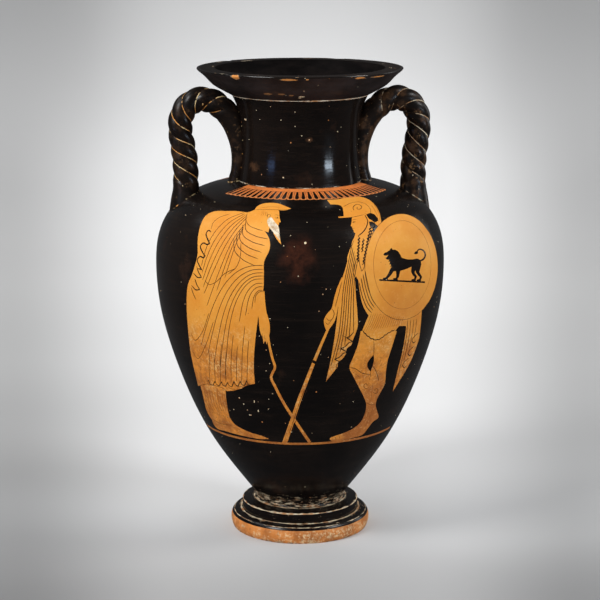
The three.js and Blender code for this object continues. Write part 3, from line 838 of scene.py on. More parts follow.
def route_line(count):
    """The handle's middle line and thickness, centripetal through its stations."""
    pts = np.array([(a, b) for a, b, _ in ROUTE], float)
    rad = np.array([c for *_, c in ROUTE], float)
    n = len(pts)
    fine, rr = [], []
    for i in range(n - 1):
        p1, p2 = pts[i], pts[i + 1]
        p0 = pts[i - 1] if i > 0 else 2 * p1 - p2
        p3 = pts[i + 2] if i + 2 < n else 2 * p2 - p1
        a, b, c = (max(np.linalg.norm(q), 1e-6) ** 0.5 for q in (p1 - p0, p2 - p1, p3 - p2))
        m1 = (p2 - p1) + b * ((p1 - p0) / a - (p2 - p0) / (a + b))
        m2 = (p2 - p1) + b * ((p3 - p2) / c - (p3 - p1) / (b + c))
        for t in np.linspace(0, 1, 60, endpoint=False):
            fine.append((2 * t ** 3 - 3 * t ** 2 + 1) * p1 + (t ** 3 - 2 * t ** 2 + t) * m1 + (-2 * t ** 3 + 3 * t ** 2) * p2 + (t ** 3 - t ** 2) * m2)
            rr.append(rad[i] * (1 - t) + rad[i + 1] * t)
    fine, rr = np.array(fine + [pts[-1]]), np.array(rr + [rad[-1]])
    s = np.concatenate([[0], np.cumsum(np.hypot(*np.diff(fine, axis=0).T))])
    at = np.linspace(0, s[-1], count)
    q = np.stack([np.interp(at, s, fine[:, 0]), np.interp(at, s, fine[:, 1])], 1)
    d = np.gradient(q, axis=0)
    d /= np.hypot(d[:, 0], d[:, 1])[:, None]
    return at, q, d, np.interp(at, s, rr)


def ease(x):
    x = np.clip(x, 0, 1)
    return x * x * (3 - 2 * x)


def handle(sign, region, start):
    s, q, d, rad = route_line(STEPS + 1)
    fade = ease((s - 42) / 16) * (1 - ease((s - 196) / 18))
    phase = math.pi / 3 + 2 * math.pi * np.arange(SIDES) / SIDES
    psi = (phase + math.pi / 3) % (2 * math.pi / 3) - math.pi / 3
    lobe = 1.045 * (0.22 * np.cos(psi) + np.sqrt(0.78 ** 2 - (0.22 * np.sin(psi)) ** 2))
    turned_by = (s + start) / TWIST_PITCH * 2 * math.pi
    angle = phase[None, :] - turned_by[:, None]
    r = rad[:, None] * (1 - fade[:, None] * (1 - lobe[None, :]))
    along = np.stack([d[:, 0], np.zeros(len(s)), d[:, 1]], 1)
    across = np.array([0.0, 1.0, 0.0])
    out = np.cross(across, along)
    mid = np.stack([q[:, 0], np.zeros(len(s)), q[:, 1]], 1)
    v = mid[:, None, :] + out[:, None, :] * (r * np.cos(angle))[..., None] + across * (r * np.sin(angle))[..., None]
    v = v.reshape(-1, 3) * MM
    # whatever is deep in the wall stops inside it
    rr = np.hypot(v[:, 0], v[:, 1])
    dense = wall[::4]
    dense_s = wall_s[::4]
    tree = KDTree(len(dense))
    for i, p in enumerate(dense):
        tree.insert((p[0], p[1], 0.0), i)
    tree.balance()
    near = np.array([tree.find((a, b, 0.0))[1] for a, b in zip(rr, v[:, 2])])
    nr, nz = wall_normal(dense_s[near])
    foot = dense[near]
    depth = -((rr - foot[:, 0]) * nr + (v[:, 2] - foot[:, 1]) * nz)
    deep = depth > 0.003
    new_r = np.where(deep, foot[:, 0] - 0.003 * nr, rr)
    new_z = np.where(deep, foot[:, 1] - 0.003 * nz, v[:, 2])
    v[:, :2] *= (new_r / np.maximum(rr, 1e-9))[:, None]
    v[:, 2] = new_z
    ends = [mid[0] * MM, mid[-1] * MM]
    v = np.concatenate([v, np.array(ends)])
    f, uv = [], []
    idx = np.arange((STEPS + 1) * SIDES).reshape(STEPS + 1, SIDES)
    for i in range(STEPS):
        a, b = idx[i], np.roll(idx[i], -1)
        c, e = np.roll(idx[i + 1], -1), idx[i + 1]
        k = np.arange(SIDES)
        ua, ub, v0, v1 = k / SIDES, (k + 1) / SIDES, np.full(SIDES, i / STEPS), np.full(SIDES, (i + 1) / STEPS)
        # the shorter diagonal of each square
        short = np.linalg.norm(v[a] - v[c], axis=1) < np.linalg.norm(v[b] - v[e], axis=1)
        for kk in range(SIDES):
            A, B, C, E = (a[kk], (ua[kk], v0[kk])), (b[kk], (ub[kk], v0[kk])), (c[kk], (ub[kk], v1[kk])), (e[kk], (ua[kk], v1[kk]))
            for tri in (((A, B, C), (A, C, E)) if short[kk] else ((A, B, E), (B, C, E))):
                f.append([t[0] for t in tri])
                uv += [(t[1][1], t[1][0]) for t in tri]
    n0 = (STEPS + 1) * SIDES
    for k in range(SIDES):
        f.append([idx[0][(k + 1) % SIDES], idx[0][k], n0])
        uv += [(0, 0)] * 3
        f.append([idx[-1][k], idx[-1][(k + 1) % SIDES], n0 + 1])
        uv += [(1, 1)] * 3
    uv = np.array(uv, float)
    uv = np.stack(uv_box(region, uv[:, 0], uv[:, 1]), 1)
    f = np.array(f)
    gap = np.tile(np.abs(np.abs(psi) - math.pi / 3), STEPS + 1) * np.repeat(rad, SIDES) + np.repeat((1 - fade) * 9.0, SIDES)
    gap = np.concatenate([gap, [9.0, 9.0]])
    if sign < 0:
        v[:, :2] *= -1
    return v, f, uv, gap


h0 = handle(1, "handle0", TWIST_START - 3.5)
h1 = handle(-1, "handle1", TWIST_START)
hv = np.concatenate([h0[0], h1[0]])
hf = np.concatenate([h0[1], h1[1] + len(h0[0])])
huv = np.concatenate([h0[2], h1[2]])
hgap = np.concatenate([h0[3], h1[3]])


def volume(v, f):
    a, b, c = v[f[:, 0]], v[f[:, 1]], v[f[:, 2]]
    return float(np.einsum("ij,ij->i", a, np.cross(b, c)).sum() / 6)


if volume(hv, hf) < 0:
    hf = hf[:, ::-1]
    huv = huv.reshape(-1, 3, 2)[:, ::-1].reshape(-1, 2)
print("volumes", volume(verts, faces), volume(hv, hf), "triangles", len(faces), len(hf))

# ------------------------------------------------------- one closed vessel
shell = bpy.data.objects.new("shell", to_mesh("shell", verts, faces, mats, uvs))
grips = bpy.data.objects.new("grips", to_mesh("grips", hv, hf, np.full(len(hf), M_HANDLE), huv))
for o in (shell, grips):
    bpy.context.scene.collection.objects.link(o)
    for k in range(7):
        o.data.materials.append(bpy.data.materials.new("slot_%d" % k) if o is shell else shell.data.materials[k])


def union(solver):
    mod = shell.modifiers.new("union", "BOOLEAN")
    mod.operation = "UNION"
    mod.solver = solver
    mod.object = grips
    bpy.context.view_layer.update()
    got = bpy.data.meshes.new_from_object(shell.evaluated_get(bpy.context.evaluated_depsgraph_get()))
    shell.modifiers.remove(mod)
    return got


whole = union("MANIFOLD")
if len(whole.polygons) < len(faces):
    print("union: falling back")
    whole = union("EXACT")
bpy.data.objects.remove(shell)
bpy.data.objects.remove(grips)
whole.name = "amphora_whole"
amphora = bpy.data.objects.new("amphora_glazed", whole)
bpy.context.scene.collection.objects.link(amphora)

nv, nf = len(whole.vertices), len(whole.polygons)
co = np.empty(nv * 3, np.float32)
whole.vertices.foreach_get("co", co)
co = co.reshape(-1, 3).astype(float)
slots = np.empty(nf, np.int32)
whole.polygons.foreach_get("material_index", slots)
loop_v = np.empty(len(whole.loops), np.int32)
whole.loops.foreach_get("vertex_index", loop_v)
total = np.empty(nf, np.int32)
whole.polygons.foreach_get("loop_total", total)
loop_f = np.repeat(np.arange(nf), total)
print("whole: vertices", nv, "faces", nf, "by slot", np.bincount(slots, minlength=7), "sides", np.bincount(total))

# distance to the nearest groove and to the wall, for wear on the handles
on_handle = np.zeros(nv, bool)
on_handle[loop_v[slots[loop_f] == M_HANDLE]] = True
tree = KDTree(len(hv))
for i, p in enumerate(hv):
    tree.insert(p, i)
tree.balance()
groove = np.full(nv, 9.0)
rise = np.full(nv, 9.0)
dense, dense_s = wall[::4], wall_s[::4]
ptree = KDTree(len(dense))
for i, p in enumerate(dense):
    ptree.insert((p[0], p[1], 0.0), i)
ptree.balance()
for i in np.flatnonzero(on_handle):
    found = tree.find_n(co[i], 2)
    if found[0][2] < 1e-5:
        groove[i] = hgap[found[0][1]]
    else:
        w = [1.0 / (f[2] + 1e-6) for f in found]
        groove[i] = sum(hgap[f[1]] * a for f, a in zip(found, w)) / sum(w)
    rise[i] = ptree.find((math.hypot(co[i][0], co[i][1]), co[i][2], 0.0))[2] * 1000.0
for name, values in (("groove", groove), ("rise", rise)):
    layer = whole.attributes.new(name, "FLOAT", "POINT")
    layer.data.foreach_set("value", values.astype(np.float32))

# corner normals: from the true profile on the turned wall, from the mesh elsewhere
whole.polygons.foreach_set("use_smooth", np.ones(nf, bool))
whole.set_sharp_from_angle(angle=math.radians(38))
normal = np.empty(len(loop_v) * 3, np.float32)
whole.corner_normals.foreach_get("vector", normal)
normal = normal.reshape(-1, 3).astype(float)
radius = np.hypot(co[:, 0], co[:, 1])
f_first = np.concatenate([[0], np.cumsum(total)[:-1]])
f_mid = np.add.reduceat(co[loop_v], f_first, axis=0) / total[:, None]
mid_s = np.interp(f_mid[:, 2], wall[:, 1], wall_s)
s_at = np.interp(co[:, 2], wall[:, 1], wall_s)
turned_face = (slots <= M_WHITE) & (f_mid[:, 2] > 0.0462) & (f_mid[:, 2] < 0.5955)
r_here = np.interp(f_mid[:, 2], wall[:, 1], wall[:, 0])
turned_face &= np.abs(np.hypot(f_mid[:, 0], f_mid[:, 1]) - r_here) < 0.0012
corner = turned_face[loop_f]
v_of = loop_v[corner]
nr, nz = wall_normal(s_at[v_of], mid_s[loop_f[corner]])
rv = np.maximum(radius[v_of], 1e-9)
normal[corner] = np.stack([nr * co[v_of, 0] / rv, nr * co[v_of, 1] / rv, nz], 1)
whole.normals_split_custom_set([tuple(n) for n in normal])


# ------------------------------------------------------------- drawn lines
def ribbon(line, width, lift=0.00010, sink=0.00008):
    """A low raised line of slip along the wall, closed and tapering at its ends."""
    seg = np.hypot(*np.diff(line, axis=0).T)
    keep = np.concatenate([[True], seg > 1e-6])
    line = line[keep]
    s = np.concatenate([[0], np.cumsum(np.hypot(*np.diff(line, axis=0).T))])
    if s[-1] < 0.0008:
        return None
    n = max(3, int(s[-1] / 0.0013) + 1)
    at = np.linspace(0, s[-1], n)
    q = np.stack([np.interp(at, s, line[:, 0]), np.interp(at, s, line[:, 1])], 1)
    th = q[:, 0] / FLAT_R
    r, z = on_wall(q[:, 1])
    p = np.stack([r * np.cos(th), r * np.sin(th), z], 1)
    nr, nz = wall_normal(q[:, 1])
    nm = np.stack([nr * np.cos(th), nr * np.sin(th), nz], 1)
    t = np.gradient(p, axis=0)
    t /= np.maximum(np.linalg.norm(t, axis=1), 1e-12)[:, None]
    side = np.cross(nm, t)
    end = np.minimum(at, s[-1] - at) / 0.0035
    w = (width / 2 * (0.35 + 0.65 * ease(end)))[:, None]
    v = np.stack([p - side * w - nm * sink, p + side * w - nm * sink, p + side * w * 0.62 + nm * lift, p - side * w * 0.62 + nm * lift], 1)
    f = []
    idx = np.arange(4 * n).reshape(n, 4)
    for k in range(4):
        a, b, c, d = idx[:-1, k], idx[:-1, (k + 1) % 4], idx[1:, (k + 1) % 4], idx[1:, k]
        f.append(np.stack([a, b, c], 1))
        f.append(np.stack([a, c, d], 1))
    f.append(np.array([[idx[0, 0], idx[0, 3], idx[0, 2]], [idx[0, 0], idx[0, 2], idx[0, 1]],
                       [idx[-1, 0], idx[-1, 1], idx[-1, 2]], [idx[-1, 0], idx[-1, 2], idx[-1, 3]]]))
    v, f = v.reshape(-1, 3), np.concatenate(f)
    if volume(v - v[0], f) < 0:
        f = f[:, ::-1]
    return v, f


lv, lf, lm, base = [], [], [], 0
for line, width, kind in strokes:
    made = ribbon(line, width)
    if made is None:
        continue
    lv.append(made[0])
    lf.append(made[1] + base)
    lm.append(np.full(len(made[1]), kind))
    base += len(made[0])
lines = bpy.data.objects.new("drawn_lines", to_mesh("drawn_lines", np.concatenate(lv), np.concatenate(lf), np.concatenate(lm)))
bpy.context.scene.collection.objects.link(lines)
print("lines: triangles", len(lines.data.polygons))


# ---------------------------------------------------------------- materials
def lin(r, g, b):
    return tuple((c / 255 / 12.92) if c / 255 <= 0.04045 else ((c / 255 + 0.055) / 1.055) ** 2.4 for c in (r, g, b)) + (1.0,)


class Paint:
    """Small helper for node materials that work on places on the object."""

    def __init__(self, name):
        self.m = bpy.data.materials.new(name)
        self.m.use_nodes = True
        self.t = self.m.node_tree
        self.t.nodes.clear()
        out = self.t.nodes.new("ShaderNodeOutputMaterial")
        self.b = self.t.nodes.new("ShaderNodeBsdfPrincipled")
        self.t.links.new(self.b.outputs[0], out.inputs[0])
        self.place = self.t.nodes.new("ShaderNodeTexCoord").outputs["Object"]
        self.xyz = self.t.nodes.new("ShaderNodeSeparateXYZ")
        self.t.links.new(self.place, self.xyz.inputs[0])
        self.z = self.xyz.outputs[2]

    def put(self, socket, value):
        if hasattr(value, "is_linked") or hasattr(value, "links"):
            self.t.links.new(value, socket)
        else:
            socket.default_value = value

    def math(self, op, a, b=0.0, c=0.0, clamp=False):
        n = self.t.nodes.new("ShaderNodeMath")
        n.operation = op
        n.use_clamp = clamp
        for s, v in zip(n.inputs, (a, b, c)):
            self.put(s, v)
        return n.outputs[0]

    def mix(self, fac, a, b):
        n = self.t.nodes.new("ShaderNodeMix")
        n.data_type = "RGBA"
        self.put(n.inputs[0], fac)
        self.put(n.inputs[6], a)
        self.put(n.inputs[7], b)
        return n.outputs[2]

    def blend(self, fac, a, b):
        n = self.t.nodes.new("ShaderNodeMix")
        n.data_type = "FLOAT"
        self.put(n.inputs[0], fac)
        self.put(n.inputs[2], a)
        self.put(n.inputs[3], b)
        return n.outputs[0]

    def step(self, value, lo, hi, a=0.0, b=1.0):
        n = self.t.nodes.new("ShaderNodeMapRange")
        n.interpolation_type = "SMOOTHSTEP"
        self.put(n.inputs[0], value)
        for s, v in zip((1, 2, 3, 4), (lo, hi, a, b)):
            n.inputs[s].default_value = v
        return n.outputs[0]

    def where(self, scale=(1, 1, 1), shift=(0, 0, 0)):
        n = self.t.nodes.new("ShaderNodeMapping")
        n.inputs["Scale"].default_value = scale
        n.inputs["Location"].default_value = shift
        self.t.links.new(self.place, n.inputs[0])
        return n.outputs[0]

    def wheel(self, squeeze=9.0, shift=0.0):
        """Places drawn out round the pot, on upright and level faces alike."""
        x, y = self.xyz.outputs[0], self.xyz.outputs[1]
        r = self.math("SQRT", self.math("ADD", self.math("MULTIPLY", x, x), self.math("MULTIPLY", y, y)))
        n = self.t.nodes.new("ShaderNodeCombineXYZ")
        self.put(n.inputs[0], self.math("MULTIPLY", self.math("DIVIDE", x, r), 0.08))
        self.put(n.inputs[1], self.math("MULTIPLY", self.math("DIVIDE", y, r), 0.08))
        self.put(n.inputs[2], self.math("ADD", self.math("MULTIPLY", self.math("SUBTRACT", self.z, self.math("MULTIPLY", r, 0.7)), squeeze), shift))
        return n.outputs[0]

    def noise(self, scale, detail=3.0, rough=0.55, shift=(0, 0, 0), stretch=(1, 1, 1), distort=0.0, at=None):
        n = self.t.nodes.new("ShaderNodeTexNoise")
        self.t.links.new(at if at is not None else self.where(stretch, shift), n.inputs["Vector"])
        n.inputs["Scale"].default_value = scale
        n.inputs["Detail"].default_value = detail
        n.inputs["Roughness"].default_value = rough
        n.inputs["Distortion"].default_value = distort
        return n.outputs[0]

    def cells(self, scale, shift=(0, 0, 0), stretch=(1, 1, 1)):
        n = self.t.nodes.new("ShaderNodeTexVoronoi")
        self.t.links.new(self.where(stretch, shift), n.inputs["Vector"])
        n.inputs["Scale"].default_value = scale
        return n.outputs["Distance"], n.outputs["Color"]

    def specks(self, scale, size, share, shift=(0, 0, 0), stretch=(1, 1, 1)):
        """Small marks in a share of the cells of a scatter."""
        d, colour = self.cells(scale, shift, stretch)
        pick = self.t.nodes.new("ShaderNodeSeparateColor")
        self.t.links.new(colour, pick.inputs[0])
        chosen = self.math("LESS_THAN", pick.outputs[0], share)
        reach = self.math("MULTIPLY", pick.outputs[1], size)
        spot = self.math("LESS_THAN", d, reach)
        return self.math("MULTIPLY", chosen, spot)

    def near(self, point, radius, rough=0.3, scale=60.0, shift=(0, 0, 0), soft=0.12):
        """1 close to a place on the object, 0 beyond a ragged edge; radius may be one for each axis."""
        r = radius if isinstance(radius, tuple) else (radius,) * 3
        away = self.t.nodes.new("ShaderNodeVectorMath")
        away.operation = "SUBTRACT"
        self.t.links.new(self.place, away.inputs[0])
        away.inputs[1].default_value = point
        grown = self.t.nodes.new("ShaderNodeVectorMath")
        grown.operation = "MULTIPLY"
        self.t.links.new(away.outputs[0], grown.inputs[0])
        grown.inputs[1].default_value = tuple(1.0 / c for c in r)
        n = self.t.nodes.new("ShaderNodeVectorMath")
        n.operation = "LENGTH"
        self.t.links.new(grown.outputs[0], n.inputs[0])
        edge = self.math("MULTIPLY", self.math("SUBTRACT", self.noise(scale, 4, 0.6, shift), 0.5), rough * 4)
        return self.step(self.math("ADD", n.outputs["Value"], edge), 1.0 + soft, 0.95 - soft)

    def ring(self, z, half, keep, scale=55.0, shift=0.0):
        """A worn ring round the pot at one height, uneven and broken up along its length."""
        d = self.math("ABSOLUTE", self.math("SUBTRACT", self.z, z))
        width = self.step(self.noise(scale * 1.7, 3, 0.6, at=self.wheel(1.0, shift + 3.0)), 0.3, 0.7, 0.35, 1.35)
        wide = self.step(self.math("DIVIDE", d, self.math("MULTIPLY", width, half)), 1.0, 0.55)
        torn = self.step(self.noise(scale, 5, 0.7, at=self.wheel(6.0, shift)), keep, keep + 0.05)
        return self.math("MULTIPLY", wide, torn)

    def hoop(self, radius, half, keep, z0, z1, scale=55.0, shift=0.0):
        """The same on a level face: a worn hoop at one distance from the axis, between two heights."""
        x, y = self.xyz.outputs[0], self.xyz.outputs[1]
        r = self.math("SQRT", self.math("ADD", self.math("MULTIPLY", x, x), self.math("MULTIPLY", y, y)))
        width = self.step(self.noise(scale * 1.7, 3, 0.6, at=self.wheel(1.0, shift + 3.0)), 0.3, 0.7, 0.35, 1.35)
        wide = self.step(self.math("DIVIDE", self.math("ABSOLUTE", self.math("SUBTRACT", r, radius)), self.math("MULTIPLY", width, half)), 1.0, 0.55)
        torn = self.step(self.noise(scale, 5, 0.7, at=self.wheel(6.0, shift)), keep, keep + 0.05)
        held = self.math("MULTIPLY", self.math("GREATER_THAN", self.z, z0), self.math("LESS_THAN", self.z, z1))
        return self.math("MULTIPLY", held, self.math("MULTIPLY", wide, torn))

    def most(self, *masks):
        got = masks[0]
        for m in masks[1:]:
            got = self.math("MAXIMUM", got, m)
        return got

    def bump(self, height, strength, distance):
        n = self.t.nodes.new("ShaderNodeBump")
        n.inputs["Strength"].default_value = strength
        n.inputs["Distance"].default_value = distance
        self.t.links.new(height, n.inputs["Height"])
        self.t.links.new(n.outputs[0], self.b.inputs["Normal"])


def wall_point(px):
    """The place on the wall under a point of the picture."""
    th, s = to_wall([px])
    r, z = on_wall(s)
    return (float(r[0] * math.cos(th[0])), float(r[0] * math.sin(th[0])), float(z[0]))


CREAM = lin(216, 200, 166)
ORANGE = lin(192, 122, 66)


def slip_base(p):
    """Near-black fired slip: a brown cast, thin places and brushed bands."""
    tone = p.noise(9.0, 4, 0.55, (3.1, 0, 0))
    band = p.noise(34.0, 4, 0.55, at=p.wheel(5.0, 7.7))
    base = p.mix(p.step(tone, 0.35, 0.7), lin(13, 10, 9), lin(24, 18, 15))
    base = p.mix(p.math("MULTIPLY", p.step(band, 0.5, 0.72), 0.35), base, lin(36, 26, 20))
    thread = p.step(p.noise(58.0, 5, 0.7, at=p.wheel(16.0, 3.3)), 0.52, 0.70)
    base = p.mix(p.math("MULTIPLY", thread, 0.13), base, lin(58, 42, 32))
    return base, tone, band


def finish_slip(p, base, rough, wear, wear_colour, fine):
    base = p.mix(wear, base, wear_colour)
    p.t.links.new(base, p.b.inputs["Base Color"])
    p.t.links.new(p.blend(wear, rough, 0.85), p.b.inputs["Roughness"])
    p.b.inputs["Specular IOR Level"].default_value = 0.20
    p.bump(fine, 0.35, 0.00025)


def wear_colour(p, lo=0.46, hi=0.62, shift=0.0):
    return p.mix(p.step(p.noise(130.0, 3, 0.6, (shift, 2.2, 0)), lo, hi), CREAM, ORANGE)


def lip_place(x, z=0.5975, r=0.1295):
    a = lip_angle(x)
    return (r * math.cos(a), r * math.sin(a), z)


def make_black():
    p = Paint("black_slip")
    base, tone, band = slip_base(p)
    fire = p.near(wall_point((297, 259)), (0.016, 0.016, 0.021), 0.40, 52.0, (1.3, 0, 0), 0.8)
    inner = p.noise(70.0, 4, 0.65, (5, 5, 1))
    base = p.mix(p.math("MULTIPLY", fire, p.step(inner, 0.32, 0.7, 0.1, 0.9)), base, lin(70, 37, 25))
    thin = p.math("MULTIPLY", p.step(p.noise(22.0, 5, 0.6, (9, 1, 4)), 0.62, 0.75), 0.28)
    base = p.mix(thin, base, lin(64, 42, 30))
    rub = p.most(p.near(wall_point((254, 167)), (0.0075, 0.0075, 0.0050), 0.5, 220.0, (1, 0, 0), 0.6),
                 p.near(wall_point((309, 140)), (0.0036, 0.0036, 0.0028), 0.4, 300.0, (2, 0, 0), 0.5),
                 p.near(lip_place(272, 0.577, 0.1065), (0.012, 0.01, 0.0035), 0.5, 160.0, (3, 0, 0), 0.6),
                 p.near(lip_place(340, 0.577, 0.1065), (0.014, 0.01, 0.0030), 0.5, 160.0, (4, 0, 0), 0.6))
    base = p.mix(p.math("MULTIPLY", rub, p.step(inner, 0.3, 0.65, 0.1, 0.6)), base, lin(92, 64, 44))
    specks = p.most(p.specks(95.0, 0.075, 0.13), p.specks(240.0, 0.17, 0.10, (4, 1, 0)),
                    p.specks(60.0, 0.050, 0.10, (2, 8, 3), (1, 1, 0.25)), p.specks(70.0, 0.045, 0.08, (7, 3, 3), (0.25, 0.25, 1)))
    spots = [p.near(wall_point(q), r, 0.25, 300.0, (k, 0, 0)) for k, (q, r) in enumerate((
        ((305, 243), 0.0015), ((290.5, 142.7), 0.0009), ((309, 140), 0.0009), ((283, 177.6), 0.0010), ((245, 119.5), (0.0030, 0.003, 0.0011)),
        ((301.5, 96.8), (0.0036, 0.006, 0.0009)), ((299.5, 98.0), (0.0016, 0.004, 0.0008)), ((243.5, 404), 0.0009), ((247, 410), 0.0008),
        ((254, 401.5), (0.0007, 0.001, 0.0024)), ((258, 411), (0.0007, 0.001, 0.0020)), ((262, 422), 0.0009), ((239, 398), 0.0010),
        ((250, 415), (0.0018, 0.002, 0.0007)), ((268, 409), 0.0007), ((233.5, 409.5), 0.0008), ((316, 392), 0.0010)))]
    chips = [p.near(lip_place(x, z), r, 0.3, 240.0, (k, 3, 0)) for k, (x, z, r) in enumerate((
        (236.5, 0.5975, (0.0055, 0.006, 0.0042)), (288, 0.5965, (0.0105, 0.006, 0.0013)), (306.6, 0.5968, (0.0020, 0.004, 0.0011)),
        (358, 0.5968, (0.0075, 0.008, 0.0013)), (377, 0.5965, (0.0135, 0.012, 0.0008))))]
    low = p.step(p.z, 0.064, 0.046)
    drag = p.noise(70.0, 5, 0.72, at=p.wheel(12.0, 1.0))
    stem = p.math("MULTIPLY", p.math("MULTIPLY", low, p.step(p.z, 0.0452, 0.0462)), p.step(p.math("ADD", drag, p.math("MULTIPLY", low, 0.10)), 0.62, 0.67))
    collar = p.math("MULTIPLY", p.math("MULTIPLY", p.step(p.z, 0.0377, 0.0384), p.step(p.z, 0.0470, 0.0450)), p.step(drag, 0.52, 0.58))
    rings = p.most(p.ring(0.0354, 0.0009, 0.38, 45.0, 5.0), p.hoop(0.0773, 0.0017, 0.37, 0.020, 0.0245, 45.0, 2.0),
                   p.hoop(0.0800, 0.0011, 0.56, 0.020, 0.0240, 60.0, 8.0), p.hoop(0.0834, 0.0016, 0.64, 0.020, 0.0240, 60.0, 4.0),
                   p.ring(0.0290, 0.0035, 0.66, 60.0, 11.0), p.ring(0.0207, 0.0004, 0.45, 50.0, 3.0),
                   p.hoop(0.0600, 0.0010, 0.42, 0.0370, 0.0392, 45.0, 13.0), p.hoop(0.0680, 0.0040, 0.66, 0.0360, 0.0380, 60.0, 17.0), stem, collar)
    seam = p.most(p.ring(0.5666, 0.0013, 0.34, 26.0, 1.0), p.ring(0.5995, 0.0008, 0.62, 34.0, 6.0), p.ring(0.4581, 0.0006, 0.52, 30.0, 9.0))
    wear = p.most(specks, rings, seam, *spots, *chips)
    colour = wear_colour(p)
    colour = p.mix(p.most(*chips), colour, lin(206, 136, 70))
    colour = p.mix(rings, colour, p.mix(p.step(p.noise(150.0, 4, 0.65, (4, 0, 1)), 0.42, 0.60), lin(206, 192, 164), lin(164, 116, 76)))
    colour = p.mix(seam, colour, p.mix(p.step(p.noise(60.0, 3, 0.6, (4, 3, 1)), 0.45, 0.62), lin(232, 222, 200), lin(188, 138, 92)))
    x, y = p.xyz.outputs[0], p.xyz.outputs[1]
    radius = p.math("SQRT", p.math("ADD", p.math("MULTIPLY", x, x), p.math("MULTIPLY", y, y)))
    line = p.math("ADD", p.math("MULTIPLY", p.math("SUBTRACT", p.z, 0.588), 1.3), 0.1105)
    inside = p.math("MULTIPLY", p.step(p.math("SUBTRACT", radius, line), 0.002, -0.002), p.step(p.z, 0.566, 0.572))
    cup = p.math("MULTIPLY", p.step(p.z, 0.5664, 0.5676), p.step(p.z, 0.5988, 0.5976))
    dust = p.step(p.noise(44.0, 5, 0.66, at=p.wheel(5.0, 4.4)), 0.30, 0.72, 0.25, 1.0)
    base = p.mix(p.math("MULTIPLY", cup, dust), base, lin(49, 41, 40))
    brown = p.most(*[p.near(wall_point(q), r, 0.35, 260.0, (k, 5, 0)) for k, (q, r) in enumerate((
        ((267.5, 94), (0.0052, 0.006, 0.0017)), ((281, 94.4), (0.0044, 0.006, 0.0012)), ((291, 95.6), (0.0030, 0.006, 0.0010))))])
    base = p.mix(brown, base, lin(138, 98, 62))
    rough = p.step(p.noise(30.0, 4, 0.6, (0, 0, 5)), 0.3, 0.7, 0.17, 0.27)
    rough = p.blend(cup, rough, 0.55)
    rough = p.blend(inside, rough, 0.62)
    rough = p.math("MULTIPLY", rough, p.blend(p.math("MULTIPLY", p.step(p.z, 0.4590, 0.4630), p.step(p.z, 0.5660, 0.5600)), 1.0, 0.64))
    fine = p.math("ADD", p.math("MULTIPLY", p.noise(420.0, 3, 0.6), 0.25),
                  p.math("MULTIPLY", p.noise(60.0, 2, 0.5, (0, 0, 0), (0.4, 0.4, 6)), 0.5))
    finish_slip(p, base, rough, wear, colour, fine)
    return p.m


def make_handle():
    p = Paint("handle_slip")
    base, tone, band = slip_base(p)
    right = p.step(p.xyz.outputs[0], -0.02, 0.02)
    brown = p.math("MULTIPLY", p.step(p.noise(60.0, 5, 0.68, (1, 4, 2)), 0.46, 0.68), p.blend(right, 0.30, 0.75))
    base = p.mix(brown, base, lin(84, 60, 42))
    g = p.t.nodes.new("ShaderNodeAttribute")
    g.attribute_name = "groove"
    a = p.t.nodes.new("ShaderNodeAttribute")
    a.attribute_name = "rise"
    cut = p.math("MULTIPLY", p.step(g.outputs["Fac"], 1.35, 0.75), p.step(p.noise(46.0, 6, 0.74, (8, 0, 0)), 0.42, 0.47))
    foot = p.math("MULTIPLY", p.step(a.outputs["Fac"], 1.1, 0.55), p.step(p.math("ADD", p.noise(58.0, 5, 0.72, (0, 8, 0)), p.step(p.z, 0.45, 0.47, -0.05, 0.13)), 0.47, 0.52))
    specks = p.most(p.specks(120.0, 0.11, 0.16, (1, 1, 0)), p.specks(260.0, 0.18, 0.12, (4, 1, 9)),
                    p.specks(80.0, 0.07, 0.16, (3, 1, 4), (1, 1, 0.3)))
    rub = p.math("MULTIPLY", p.step(p.noise(95.0, 5, 0.75, (5, 2, 2)), 0.60, 0.66), p.blend(right, 0.25, 0.8))
    base = p.mix(rub, base, lin(132, 100, 68))
    wear = p.most(cut, foot, specks)
    shade = p.math("MULTIPLY", p.step(g.outputs["Fac"], 3.0, 0.6), 0.55)
    base = p.mix(shade, base, lin(38, 28, 21))
    gold = p.mix(p.step(p.noise(40.0, 3, 0.6, (3, 2.2, 0)), 0.42, 0.60), lin(214, 190, 142), lin(202, 140, 72))
    pale = p.mix(p.step(p.noise(60.0, 3, 0.6, (7, 2.2, 0)), 0.42, 0.62), lin(196, 184, 158), lin(150, 112, 78))
    rough = p.step(p.noise(40.0, 4, 0.6, (0, 3, 5)), 0.3, 0.7, 0.26, 0.40)
    fine = p.math("ADD", p.math("MULTIPLY", p.noise(380.0, 3, 0.6, (0, 2, 0)), 0.4), p.math("MULTIPLY", p.noise(90.0, 3, 0.6, (0, 7, 0)), 0.9))
    finish_slip(p, base, rough, wear, p.mix(right, gold, pale), fine)
    return p.m


